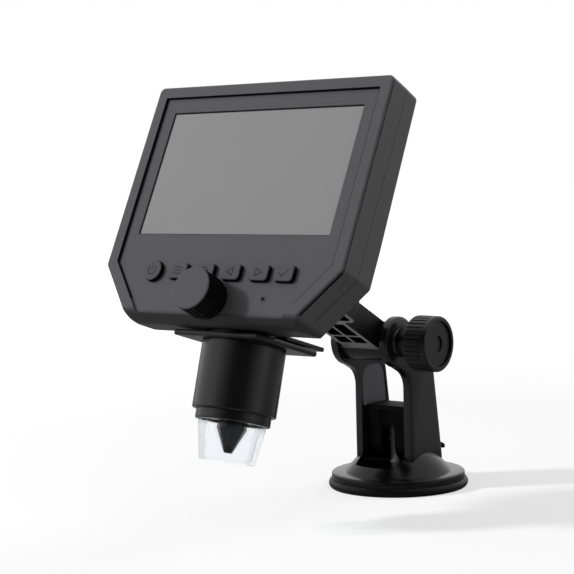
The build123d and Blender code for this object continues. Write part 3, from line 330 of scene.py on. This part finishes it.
# Painted light on the floors of the recesses in the yoke's legs: a pale colour, so that they show
# lit and paler than the legs.
recess_painted_light_abs = moulded("black_abs_recess_painted_light", "#6E6E72", "#68686C", 0.5, 0.6, 0.01, specular=0.3)
# ABS of the arm: black, with a painted highlight: a pale, glossier band at the height of its ribs'
# ends.
arm_abs = moulded(
    "black_abs_arm_painted_highlight",
    "#0F0F10",
    "#0B0B0C",
    0.34,
    0.6,
    0.012,
    specular=0.4,
    zone=Zone(arm_normal, arm_underside, "#8A8A8D", sheen=0.6, passage_mm=0.08, band_mm=0.15),
)
# ABS of the barrel: a deeper black with a tighter sheen towards its sides.
barrel_abs = moulded("black_abs_barrel", "#050506", "#040404", 0.24, 0.7, 0.002)
# ABS from a polished tool, of the clamp knob, the dimmer's wheel and the lens carriage: black
# with a satin sheen.
satin_abs = moulded("black_abs_satin", "#0E0E0F", "#0A0A0B", 0.34, 0.8, 0.008, specular=0.4)
# ABS of the focus knob: its flat front shows grey, its ribs stay black.
knob_abs = moulded(
    "black_abs_focus_knob",
    "#47474A",
    "#414144",
    0.42,
    0.6,
    0.01,
    zone=Zone(display_out, height_out(knob_front_edge), "#050506"),
)
# ABS of the suction lever: dull black, as it sits in the shade of the legs.
lever_abs = moulded("black_abs_dull", "#050505", "#040404", 0.6, 0.6, 0.01, specular=0.09)
# Acetal of the stem: painted light, a grey made pale so that the stem shows lit in the shade of the
# lever's slot.
stem_acetal_painted_light = moulded("grey_acetal_painted_light", "#6A6A6C", "#606062", 0.4, 0.8, 0.004)
# Soft PVC rubber of the cup: black, slightly greasy sheen.
cup_rubber = moulded("soft_pvc_cup", "#070708", "#060606", 0.4, 1.2, 0.01, specular=0.2)
# Silicone rubber of the keys: matt grey on top, with painted shade down the sides, which are
# coloured black as they lie in shadow.
key_rubber = moulded(
    "silicone_keys_painted_shade",
    "#48484B",
    "#424245",
    0.55,
    0.4,
    0.01,
    zone=Zone(display_out, height_out(key_front_edge), "#040404"),
)
# Matt black in the joints between the shells, and as painted shade on the wall of the panel's step,
# along the lower slants of the front joint and in the screws' cross recesses.
gap_and_shade_black = moulded("shadow_gap_black", "#060606", "#050505", 0.8, 0.5, 0.002, specular=0.1)
# Natural nylon of the friction washers: milky, waxy.
nylon = moulded("natural_nylon", "#D8D4C6", "#CBC6B6", 0.4, 0.8, 0.005)
# Styrene round the display, on the dimmer's body and in the USB socket: black, nearly dull.
black_styrene = moulded("black_styrene", "#080808", "#060606", 0.4, 2.0, 0.002, specular=0.2)
# Acrylic of the lens cap: clear, thin and polished, seen mostly by its edges.
clear_acrylic = thin_acrylic()
# Crown glass of the objective: clear with hard, bright reflections.
crown_glass = polished_glass()
# Liquid crystal panel, unlit: a flat mid grey with a silky gloss.
unlit_display = display_glass()
# Zinc-plated steel of the bolt, its washer, the pin, the focus shaft, the switches and the
# sockets: pale, slightly dull.
zinc_steel = metal("zinc_plated_steel", "#B9BBBE", 0.34, 0.4)
# Steel screws with a black oxide finish, as in dark housings: nearly black, faintly metallic.
black_steel = metal("black_oxide_steel", "#3A3B3D", 0.42, 0.4)
# Turned brass of the insert and the pinion: yellow, with fine rings.
turned_brass = metal("turned_brass", "#D9B36C", 0.3, 0.3, narrowing=4.0)
# Circuit boards: a glossy green with darker tracks.
solder_mask = circuit_board()
# White light-emitting diodes: a pale, slightly yellow phosphor.
led_white = moulded("led_phosphor", "#EFEBDA", "#E6E1CC", 0.3, 0.5, 0.004)
# Image sensor, silicon under glass: dark blue and shiny.
sensor_silicon = moulded("sensor_silicon", "#20243A", "#1A1D30", 0.12, 1.0, 0.001)
# PVC shrink film round the cell: grey with a soft gloss.
shrink_film = moulded("pvc_shrink_film", "#5A5E66", "#52565E", 0.3, 3.0, 0.01)
# Screen-printed ink of the key legends: matt, darker than the keys.
legend_ink = moulded("screen_print_ink", "#1E1E20", "#1A1A1C", 0.6, 0.3, 0.001, specular=0.2)

finishes = {
    "suction_cup": cup_rubber,
    "yoke": yoke_abs,
    "pivot_bolt": zinc_steel,
    "friction_washers": nylon,
    "clamp_washer": zinc_steel,
    "pull_stem": stem_acetal_painted_light,
    "lever_pin": zinc_steel,
    "suction_lever": satin_abs,
    "clamp_knob": satin_abs,
    "knob_insert": turned_brass,
    "knob_cap": satin_abs,
    "arm": arm_abs,
    "rear_bracket": black_abs,
    "bracket_screws": black_steel,
    "front_shell": charcoal_abs,
    "rear_shell": charcoal_abs,
    "battery": shrink_film,
    "battery_cover": charcoal_abs,
    "case_screws": black_steel,
    "lcd_frame": black_styrene,
    "lcd_glass": unlit_display,
    "main_board": solder_mask,
    "button_board": solder_mask,
    "tact_switches": zinc_steel,
    "usb_socket": zinc_steel,
    "card_slot": zinc_steel,
    "dimmer_pot": black_styrene,
    "dimmer_wheel": satin_abs,
    "barrel_tube": barrel_abs,
    "lamp_bezel": barrel_abs,
    "lamp_board": solder_mask,
    "lamps": led_white,
    "sensor_board": solder_mask,
    "image_sensor": sensor_silicon,
    "collar_plate": black_abs,
    "collar_ledge": black_abs,
    "focus_knob": knob_abs,
    "focus_shaft": zinc_steel,
    "focus_pinion": turned_brass,
    "lens_carriage": satin_abs,
    "lens_nose": barrel_abs,
    "objective_lens": crown_glass,
    "clear_cap": clear_acrylic,
    "power_button": key_rubber,
    "menu_button": key_rubber,
    "photo_button": key_rubber,
    "left_button": key_rubber,
    "right_button": key_rubber,
    "ok_button": key_rubber,
}
for node_name, finish in finishes.items():
    slots = nodes[node_name].data.materials
    slots.clear()
    slots.append(finish)


# ---------- Mesh work; sizes are in millimetres ----------
def built(build, *sizes, **settings):
    """The mesh that a builder makes from its sizes."""
    shape = bmesh.new()
    build(shape, *sizes, **settings)
    mesh = bpy.data.meshes.new(build.__name__)
    shape.to_mesh(mesh)
    shape.free()
    return mesh


def show(mesh, name):
    """An object of a mesh, in the scene."""
    mesh.name = name
    made = bpy.data.objects.new(name, mesh)
    bpy.context.scene.collection.objects.link(made)
    return made


def worked(*steps):
    """A mesh made by boolean steps of (operation, builder, sizes); the first step is the base."""
    base, *tools = [show(built(build, *sizes), "work") for _, build, *sizes in steps]
    for tool, (operation, *_) in zip(tools, steps[1:]):
        boolean = base.modifiers.new("boolean", "BOOLEAN")
        boolean.operation = operation
        boolean.solver = "EXACT"
        boolean.object = tool
    graph = bpy.context.evaluated_depsgraph_get()
    made = bpy.data.meshes.new_from_object(base.evaluated_get(graph))
    for holder in (base, *tools):
        bpy.data.objects.remove(holder)
    return made


def add_piece(
    name, mesh, place, body, finish, replaced=None, smooth_angle=None
):
    """Places a mesh, gives it a finish and lets it ride on a body.

    It may hide the node that it stands for, and be shaded smooth up to an angle in degrees.
    """
    mesh.transform(place)
    mesh.materials.clear()
    mesh.materials.append(finish)
    if smooth_angle:
        mesh.shade_smooth()
        mesh.set_sharp_from_angle(angle=radians(smooth_angle))
    made = show(mesh, name)
    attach(made, body)
    if replaced:
        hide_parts(replaced)


def join_rows(shape, rows, closed_path=False):
    """Quads between neighbouring closed rows of points, with ends unless the path closes too."""
    made = [[shape.verts.new(Vector(point) * MM) for point in row] for row in rows]
    pairs = list(zip(made, made[1:]))
    if closed_path:
        pairs.append((made[-1], made[0]))
    for low, high in pairs:
        for i in range(len(low)):
            j = (i + 1) % len(low)
            shape.faces.new((low[i], low[j], high[j], high[i]))
    if not closed_path:
        shape.faces.new(made[0])
        shape.faces.new(reversed(made[-1]))
    bmesh.ops.recalc_face_normals(shape, faces=shape.faces)


def crosswise(run):
    """The direction to the left of a run in a plane."""
    return Vector((-run.y, run.x))


def mitre(before, here, after):
    """What carries a path's point to the left by one: longer at a corner, within a limit."""
    into = (here - before).normalized()
    onward = (after - here).normalized()
    side = crosswise(into + onward).normalized()
    mitre_limit = 0.4
    return side / max(side.dot(crosswise(into)), side.dot(crosswise(onward)), mitre_limit)


def add_stroke(shape, points, width, thickness, closed=False):
    """A flat printed line of constant width along a path, with a thickness."""
    path = [Vector(point) for point in points]
    rows = []
    for i, here in enumerate(path):
        before = path[i - 1] if closed or i > 0 else here
        after = path[(i + 1) % len(path)] if closed or i < len(path) - 1 else here
        half = mitre(before, here, after) * width / 2
        left, right = here + half, here - half
        rows.append([(*left, 0), (*left, thickness), (*right, thickness), (*right, 0)])
    join_rows(shape, rows, closed_path=closed)


def arc_points(radius, start, end, steps, centre=(0, 0)):
    """Points along an arc, angles in degrees."""
    angles = [radians(start + (end - start) * i / steps) for i in range(steps + 1)]
    return [(centre[0] + radius * cos(a), centre[1] + radius * sin(a)) for a in angles]


def circle_points(radius, steps, centre):
    """Points round a whole circle."""
    return arc_points(radius, 0, 360 - 360 / steps, steps - 1, centre)


def curve_points(start, middle, end, steps):
    """Points along a curve that leaves and arrives pointing at its middle point."""
    start, middle, end = Vector(start), Vector(middle), Vector(end)
    shares = [i / steps for i in range(steps + 1)]
    return [start.lerp(middle, t).lerp(middle.lerp(end, t), t) for t in shares]


def rounded_path(corners, radius, steps=6):
    """An open path whose inner corners are rounded."""
    path = [Vector(corners[0])]
    for before, here, after in zip(corners, corners[1:], corners[2:]):
        here = Vector(here)
        into = (Vector(before) - here).normalized()
        out = (Vector(after) - here).normalized()
        half = into.angle(out) / 2
        reach = radius * cos(half) / sin(half)
        start, end = here + into * reach, here + out * reach
        middle = here + (into + out).normalized() * (radius / sin(half))
        first, last = start - middle, end - middle
        for i in range(steps + 1):
            path.append(middle + first.lerp(last, i / steps).normalized() * radius)
    path.append(Vector(corners[-1]))
    return path


def filleted(corners, radii, steps=8):
    """A closed outline whose corners are rounded where a radius is given."""
    path = []
    for i, here in enumerate(corners):
        if i in radii:
            around = [corners[i - 1], here, corners[(i + 1) % len(corners)]]
            path.extend(rounded_path(around, radii[i], steps)[1:-1])
        else:
            path.append(Vector(here))
    return path


def lathe(shape, profile, steps):
    """A closed solid turned round z from (radius, height) points off the axis."""
    turns = [tau * i / steps for i in range(steps)]
    join_rows(shape, [[(r * cos(t), r * sin(t), z) for t in turns] for r, z in profile])


def turned_ring(shape, profile, steps):
    """A closed ring turned round z: the (radius, height) profile closes on itself."""
    turns = [tau * i / steps for i in range(steps)]
    rows = [[(r * cos(t), r * sin(t), z) for r, z in profile] for t in turns]
    join_rows(shape, rows, closed_path=True)


def prism(shape, outline, low, high, soft=0.0):
    """An outline in y and z drawn out along x, its edges at the high end rounded by soft."""
    path = [Vector(point) for point in outline]
    # The path runs anticlockwise, so that a mitre points inwards.
    if sum(a.cross(b) for a, b in zip(path, path[1:] + path[:1])) < 0:
        path.reverse()
    following = path[1:] + path[:1]
    mitres = [mitre(path[i - 1], here, following[i]) for i, here in enumerate(path)]
    levels = [(low, 0.0)]
    steps = 4 if soft else 0
    depth = soft if high > low else -soft
    for i in range(steps + 1):
        turned = pi / 2 * i / max(steps, 1)
        levels.append((high - depth * (1 - sin(turned)), soft * (1 - cos(turned))))
    rows = [
        [(x, *(here + inward * inset)) for here, inward in zip(path, mitres)]
        for x, inset in levels
    ]
    join_rows(shape, rows)


def block(shape, low, high):
    """A square-edged block between two corners."""
    (x0, y0, z0), (x1, y1, z1) = low, high
    prism(shape, [(y0, z0), (y1, z0), (y1, z1), (y0, z1)], x0, x1)


def rod(shape, radius, low, high, centre, steps):
    """A round rod along x, with its centre in y and z."""
    prism(shape, circle_points(radius, steps, centre), low, high)


def bore(shape, radius, low, high, steps):
    """A round cutter along z."""
    lathe(shape, [(radius, low), (radius, high)], steps)


# ---------- Housing: window trim, seams, small marks ----------
case_half_width = 59.1
case_side_end = -41.6
case_bottom = -63.8
case_bottom_half = 40.6
case_top = 39.1
case_corner = 2.4
rim_width = 5.0
panel_corner = 0.3
panel_face = 0.65
seam_sunk = 0.3
seam_proud = 0.005


def seam_strip(shape, high, low_side, low_slant, proud=seam_proud, inset=0.0, rise=5.5):
    """A dark strip round the housing's wall, or drawn in by an inset along the panel's step as
    painted shade.

    It may be deeper along the two lower slants, and ends that far above the bottom.
    """
    bottom_end = Vector((case_bottom_half, case_bottom))
    slant = (Vector((case_half_width, case_side_end)) - bottom_end).normalized()
    foot = bottom_end + slant * rise + crosswise(slant) * inset
    side = case_half_width - inset
    knee = foot + slant * ((side - foot.x) / slant.x)
    top = case_top - inset
    right_half = [(side, top), (side, knee.y), (foot.x, foot.y)]
    left_half = [(-x, y) for x, y in reversed(right_half)]
    path = rounded_path(left_half + right_half, panel_corner if inset else case_corner)
    slant_start = case_side_end - 0.5
    rows = []
    for i, here in enumerate(path):
        before, after = path[max(i - 1, 0)], path[min(i + 1, len(path) - 1)]
        outward = crosswise((after - before).normalized())
        low = low_slant if here.y < slant_start else low_side
        inner, outer = here - outward * seam_sunk, here + outward * proud
        rows.append([(*inner, high), (*outer, high), (*outer, low), (*inner, low)])
    join_rows(shape, rows)


def window_trim(shape):
    """The panel's plastic drawn in round the picture: a flat frame with a small inner bevel."""
    outer_x, outer_y = 49.11, 28.52
    inner_x, inner_y = 47.95, 27.38
    glass_gap = 0.05
    bevel = 0.12
    profile = [
        (outer_x, outer_y, glass_gap),
        (outer_x, outer_y, panel_face),
        (inner_x + bevel, inner_y + bevel, panel_face),
        (inner_x, inner_y, panel_face - bevel),
        (inner_x, inner_y, glass_gap),
    ]
    corners = ((1, 1), (-1, 1), (-1, -1), (1, -1))
    rows = [[(side * x, end * y, z) for x, y, z in profile] for side, end in corners]
    join_rows(shape, rows, closed_path=True)


add_piece("window_trim", built(window_trim), display, "head", charcoal_abs)
# A dark strip for the joint behind the front edge; along the lower slants it is deepened as painted
# shade.
shadow_gap = built(seam_strip, high=1.0, low_side=0.5, low_slant=-0.15)
add_piece("front_shadow_gap", shadow_gap, display, "head", gap_and_shade_black)
parting = built(seam_strip, high=-8.42, low_side=-8.58, low_slant=-8.66)
add_piece("parting_seam", parting, display, "head", gap_and_shade_black)
# Painted shade: a dark strip over the wall of the panel's step, which lies in shadow.
panel_step = built(
    seam_strip, high=1.62, low_side=0.6, low_slant=0.6, proud=0.2, inset=rim_width, rise=7.0
)
add_piece("panel_step_shade", panel_step, display, "head", gap_and_shade_black)

# A low raised ring round the microphone's hole.
microphone = display @ Matrix.Translation(Vector((25.1, -53.7, 0)) * MM)
rim_profile = [(0.72, 0.6), (1.3, 0.6), (1.3, 0.76), (1.16, 0.88), (0.9, 0.88), (0.72, 0.76)]
add_piece(
    "microphone_rim",
    built(turned_ring, rim_profile, 40),
    microphone,
    "head",
    charcoal_abs,
    smooth_angle=35,
)


def cross_recesses(shape):
    """Painted shade for cross recesses on the heads of the four case screws, drawn as thin dark
    bars.
    """
    reach, width = 1.3, 0.5
    # One bar lies over the other.
    lower, upper = 0.02, 0.03
    for x, y in ((-53.6, 34.7), (53.6, 34.7), (-47.5, -45.0), (47.5, -45.0)):
        add_stroke(shape, [(x - reach, y), (x + reach, y)], width, lower)
        add_stroke(shape, [(x, y - reach), (x, y + reach)], width, upper)


screw_depth = -15.42
screw_heads = display @ Matrix.Translation((0, 0, screw_depth * MM))
add_piece("case_screw_recess_painted_shade", built(cross_recesses), screw_heads, "head", gap_and_shade_black)


# ---------- Stand: yoke and lever ----------
leg_inner, leg_outer = 11.1, 14.95
leg_softness = 1.2
eye_radius = 11.0
recess_floor = leg_inner + 0.5
slot_floor = 10.6
pin_height = 21.0
pivot_spot = (pivot_y, pivot_z)


def flange_and_dome(shape):
    """The turned base of the yoke: a flange with a rounded rim and a domed middle."""
    flange_radius, flange_low, flange_high = 29.5, 3.6, 6.8
    rim_radius = 0.9
    rim = [
        (
            flange_radius - rim_radius * (1 - cos(turned)),
            flange_high - rim_radius * (1 - sin(turned)),
        )
        for turned in (0, 0.5, 1.05, pi / 2)
    ]
    dome = curve_points((23.7, flange_high), (18.35, 13.0), (14.6, 15.6), 12)
    top = [(13.7, 15.9), (12.6, 16.0)]
    lathe(shape, [(flange_radius, flange_low)] + rim + dome + top, 96)


# A leg from the base up, round its front and back bends, to the pivot's eye.
leg_outline = filleted(
    [
        (-11.1, 8.8),
        (13.7, 8.8),
        (13.7, 12.8),
        (8.0, 52.0),
        (4.0, 62.0),
        (pivot_y, 68.2),
        (-22.4, 56.5),
        (-11.1, 51.0),
    ],
    {3: 9.0, 7: 9.0},
)
# A shallow round-topped recess in each leg's inner face, above the lever.
recess_outline = filleted(
    [(-9.7, 36.0), (9.2, 36.0), (6.7, 53.8), (-9.7, 53.8)],
    {0: 1.0, 1: 1.0, 2: 5.5, 3: 5.5},
)


def yoke():
    """The base with its slot, two legs with eyes and recesses, and the holes through them."""
    bolt_radius, hexagon_radius, hexagon_depth = 2.55, 4.75, 1.6
    stem_radius, cup_boss_radius, cup_boss_top = 3.3, 8.3, 8.5
    steps = [
        ("BASE", flange_and_dome),
        ("DIFFERENCE", block, (-leg_inner, -30, slot_floor), (leg_inner, 30, 20)),
    ]
    for side in (-1, 1):
        inner, outer = side * leg_inner, side * leg_outer
        for outline in (leg_outline, circle_points(eye_radius, 60, pivot_spot)):
            steps.append(("UNION", prism, outline, inner, outer, leg_softness))
    for side in (-1, 1):
        steps.append(
            ("DIFFERENCE", prism, recess_outline, side * (leg_inner - 1), side * recess_floor)
        )
    hexagon_floor = hexagon_depth - leg_outer
    steps += [
        ("DIFFERENCE", rod, bolt_radius, -20, 20, pivot_spot, 32),
        ("DIFFERENCE", rod, hexagon_radius, -16, hexagon_floor, pivot_spot, 6),
        ("DIFFERENCE", bore, stem_radius, -1, 20, 32),
        ("DIFFERENCE", bore, cup_boss_radius, -1, cup_boss_top, 48),
    ]
    return worked(*steps)


add_piece("stand_yoke", yoke(), upright, "stand", yoke_abs, replaced="yoke", smooth_angle=30)

# A thin pale tile on each recess floor carries the painted light.
tile_sunk, tile_proud = 0.2, 0.05
for side_name, side in (("left", -1), ("right", 1)):
    sunk, proud = side * (recess_floor + tile_sunk), side * (recess_floor - tile_proud)
    tile = built(prism, recess_outline, sunk, proud)
    add_piece(side_name + "_leg_recess_painted_light", tile, upright, "stand", recess_painted_light_abs)


def lever():
    """The block with its lobe and handle, the stem's slot under a bridge, and the pin's hole."""
    cheek = 10.5
    pin_radius = 1.56
    stem_half, stem_back, bridge_under = 3.5, 7.6, 34.5
    block_outline = filleted(
        [
            (-7.5, pin_height),
            (-7.5, 24.5),
            (-8.36, 28.0),
            (-9.1, 36.5),
            (7.5, 36.5),
            (7.5, pin_height),
        ],
        {3: 1.6, 4: 1.6},
        5,
    )
    handle_outline = [
        (0.0, 24.0),
        (9.5, 21.5),
        (21.6, 16.3),
        (22.4, 15.6),
        (22.4, 14.8),
        (21.8, 14.2),
        (7.5, 16.5),
        (0.0, 18.0),
    ]
    lobe_radius, lobe_spot = 8.7, (1.1, 19.6)
    return worked(
        ("BASE", prism, block_outline, -cheek, cheek),
        ("UNION", rod, lobe_radius, -cheek, cheek, lobe_spot, 64),
        ("UNION", prism, handle_outline, -cheek, cheek),
        ("DIFFERENCE", block, (-stem_half, -12, 9), (stem_half, stem_back, bridge_under)),
        ("DIFFERENCE", rod, pin_radius, -12, 12, (0, pin_height), 32),
    )


add_piece(
    "lever_block",
    lever(),
    upright,
    "lever",
    lever_abs,
    replaced="suction_lever",
    smooth_angle=30,
)


# ---------- Inside the USB socket ----------
def usb_insert(shape):
    """The black floor of the socket's mouth and the tongue that carries its contacts."""
    rise, out = 12.0, -5.9
    for start, end, half_width, half_height in (
        (-53.78, -53.7, 3.35, 0.95),
        (-57.5, -53.72, 2.5, 0.35),
    ):
        low = (start, rise - half_width, out - half_height)
        block(shape, low, (end, rise + half_width, out + half_height))


add_piece("usb_insert", built(usb_insert), display, "head", black_styrene)


# ---------- Collar round the barrel ----------
seat_radius = 16.35


def rounded_plate(shape, half, front, back, low, high, corner, soft):
    """A plate in x and y with rounded corners and a rounded rim."""
    turns = [pi / 2 * i / 4 for i in range(5)]
    rim = [(soft * (1 - sin(turned)), soft * (1 - cos(turned))) for turned in turns]
    levels = [(low + rise, inset) for rise, inset in reversed(rim)]
    levels += [(high - rise, inset) for rise, inset in rim]
    rows = []
    for z, inset in levels:
        row = []
        for side, end, start in ((1, 1, 0), (-1, 1, 90), (-1, -1, 180), (1, -1, 270)):
            reach = back if end > 0 else front
            centre = (side * (half - corner), end * (reach - corner))
            radius = max(corner - inset, 0.05)
            row += [(x, y, z) for x, y in arc_points(radius, start, start + 90, 6, centre)]
        rows.append(row)
    join_rows(shape, rows)


def collar(half, front, back, low, high, corner, soft):
    """A collar plate with the barrel's hole."""
    return worked(
        ("BASE", rounded_plate, half, front, back, low, high, corner, soft),
        ("DIFFERENCE", bore, seat_radius, -5, 12, 96),
    )


front_plate = collar(half=21.6, front=19.2, back=20.0, low=0.9, high=3.2, corner=1.8, soft=0.8)
rear_plate = collar(half=20.4, front=0.0, back=25.2, low=3.9, high=5.6, corner=0.6, soft=0.3)
for piece_name, plate, node_name in (
    ("collar_front", front_plate, "collar_plate"),
    ("collar_rear", rear_plate, "collar_ledge"),
):
    add_piece(
        piece_name, plate, barrel, "head", black_abs, replaced=node_name, smooth_angle=30
    )


# ---------- Key legends ----------
ink = 0.03
line = 0.32


def power_mark(shape):
    """A broken ring with a stroke through its gap."""
    add_stroke(shape, arc_points(1.9, 125, 415, 28), line, ink)
    add_stroke(shape, [(0, 0.3), (0, 2.5)], line, ink)


def menu_mark(shape):
    """Three short bars."""
    for height in (-1.3, 0, 1.3):
        add_stroke(shape, [(-1.9, height), (1.9, height)], line, ink)


def photo_mark(shape):
    """A ring, for taking a picture."""
    add_stroke(shape, arc_points(1.6, 0, 345, 24), line, ink, closed=True)


def left_mark(shape):
    """An open triangle that points left."""
    add_stroke(shape, [(1.3, 1.6), (-1.7, 0), (1.3, -1.6)], line, ink, closed=True)


def right_mark(shape):
    """An open triangle that points right."""
    add_stroke(shape, [(-1.3, -1.6), (1.7, 0), (-1.3, 1.6)], line, ink, closed=True)


def ok_mark(shape):
    """A tick."""
    add_stroke(shape, [(-1.9, 0.1), (-0.5, -1.4), (2.0, 1.5)], line, ink)


key_face = 2.65
key_height = -43.6
for key_name, key_x, mark in (
    ("power_button", -32.9, power_mark),
    ("menu_button", -19.6, menu_mark),
    ("photo_button", -6.0, photo_mark),
    ("left_button", 7.1, left_mark),
    ("right_button", 21.0, right_mark),
    ("ok_button", 33.0, ok_mark),
):
    spot = display @ Matrix.Translation(Vector((key_x, key_height, key_face)) * MM)
    add_piece(key_name + "_legend", built(mark), spot, key_name, legend_ink)


# ---------- Floor, lights and camera ----------
def viewer_rays(tree):
    """One for rays that reach the eye directly or through glass, and zero otherwise."""
    rays = add(tree, "LightPath").outputs
    kinds = {0: rays["Is Camera Ray"], 1: rays["Is Transmission Ray"]}
    return add(tree, "Math", kinds, operation="MAXIMUM").outputs[0]


def white_paper():
    """Pale matt paper that keeps its shadows, and looks whiter to the eye further out."""
    near, far = 0.25, 1.2
    fibre_mm = 2
    made, tree, place = new_material("white_paper")
    fibre = add(tree, "TexNoise", {"Vector": place, "Scale": 1 / (fibre_mm * MM)})
    colours = {"Factor": fibre.outputs["Fac"], "A": linear("#A8A8A8"), "B": linear("#ACACAC")}
    pulp = add(tree, "Mix", colours, data_type="RGBA").outputs["Result"]
    sheet = add(
        tree, "BsdfPrincipled", {"Base Color": pulp, "Roughness": 0.9, "Specular IOR Level": 0.0}
    )
    away_from_middle = add(tree, "VectorMath", {0: place}, operation="LENGTH").outputs["Value"]
    span = {"Value": away_from_middle, "From Min": near, "From Max": far}
    lift = add(tree, "MapRange", {**span, "To Min": 0.55, "To Max": 0.9}).outputs[0]
    shade = add(tree, "BsdfDiffuse", {"Color": linear("#BCBCBC")})
    glow = add(tree, "Emission", {"Color": (1, 1, 1, 1), "Strength": lift})
    lit = add(tree, "AddShader", {0: shade.outputs[0], 1: glow.outputs[0]})
    sides = {0: viewer_rays(tree), 1: sheet.outputs[0], 2: lit.outputs[0]}
    add(tree, "OutputMaterial", {"Surface": add(tree, "MixShader", sides).outputs[0]})
    return made


def wide_sheet(shape):
    """A flat sheet, wide enough to reach past the view; its size is in metres."""
    bmesh.ops.create_grid(shape, x_segments=2, y_segments=2, size=6.0)


def studio_floor():
    """The sheet of paper that the object stands on."""
    mesh = built(wide_sheet)
    mesh.materials.append(white_paper())
    show(mesh, "studio_floor")


def studio_world(dark_side, ambient):
    """White surroundings to the eye, dimmer as a light; gloss finds a dark side by the camera."""
    world = bpy.data.worlds.new("white_studio")
    world.use_nodes = True
    tree = world.node_tree
    tree.nodes.clear()
    place = add(tree, "TexCoord").outputs["Generated"]
    toward = add(tree, "VectorMath", {0: place, 1: dark_side}, operation="DOT_PRODUCT")
    cone = {"Value": toward.outputs["Value"], "From Min": 0.35, "From Max": 0.92}
    dim = add(tree, "MapRange", {**cone, "To Min": 1.0, "To Max": 0.08}).outputs[0]
    glow, shine, white = [
        add(tree, "Background", {"Color": (1, 1, 1, 1), "Strength": strength}).outputs[0]
        for strength in (ambient, dim, 1.0)
    ]
    glossy = add(tree, "LightPath").outputs["Is Glossy Ray"]
    lighting = add(tree, "MixShader", {0: glossy, 1: glow, 2: shine}).outputs[0]
    surroundings = add(tree, "MixShader", {0: viewer_rays(tree), 1: lighting, 2: white})
    add(tree, "OutputWorld", {"Surface": surroundings.outputs[0]})
    bpy.context.scene.world = world


def soft_lamp(name, place, size, power):
    """A square lamp turned towards the object; it lights, and shows in no gloss."""
    lamp = bpy.data.lights.new(name, "AREA")
    lamp.energy = power
    lamp.size = size
    holder = bpy.data.objects.new(name, lamp)
    holder.location = place
    object_middle = Vector((0, -0.06, 0.1))
    beam = object_middle - Vector(place)
    holder.rotation_euler = beam.to_track_quat("-Z", "Y").to_euler()
    holder.visible_glossy = False
    bpy.context.scene.collection.objects.link(holder)


def add_camera(place, lens, right, up, back):
    """The camera at a place, looking against its back direction."""
    view = bpy.data.cameras.new("camera")
    view.sensor_width = 36.0
    view.lens = lens
    view.clip_start = 0.05
    view.clip_end = 20.0
    camera = bpy.data.objects.new("camera", view)
    camera.matrix_world = frame_matrix(place, right, up, back)
    bpy.context.scene.collection.objects.link(camera)
    bpy.context.scene.camera = camera


camera_place = Vector((428.0, -628.6, 145.7)) * MM
camera_lens = 108.16
camera_azimuth = radians(37.82)
camera_rise = radians(4.24)
camera_roll = radians(-1.46)
level_right = Vector((cos(camera_azimuth), sin(camera_azimuth), 0))
level_back = Vector((sin(camera_azimuth), -cos(camera_azimuth), 0))
toward_camera = level_back * cos(camera_rise) + upward * sin(camera_rise)
level_up = toward_camera.cross(level_right)
camera_right = cos(camera_roll) * level_right + sin(camera_roll) * level_up
camera_up = -sin(camera_roll) * level_right + cos(camera_roll) * level_up

studio_floor()
studio_world(dark_side=toward_camera, ambient=0.28)
soft_lamp("key_lamp", (-1.0, -1.05, 0.9), size=0.16, power=21)
soft_lamp("fill_lamp", (1.2, -0.5, 0.7), size=1.0, power=2.5)
soft_lamp("rim_lamp", (0.3, 1.0, 0.9), size=0.8, power=4)
add_camera(camera_place, camera_lens, camera_right, camera_up, toward_camera)
bpy.context.scene.view_settings.view_transform = "Standard"
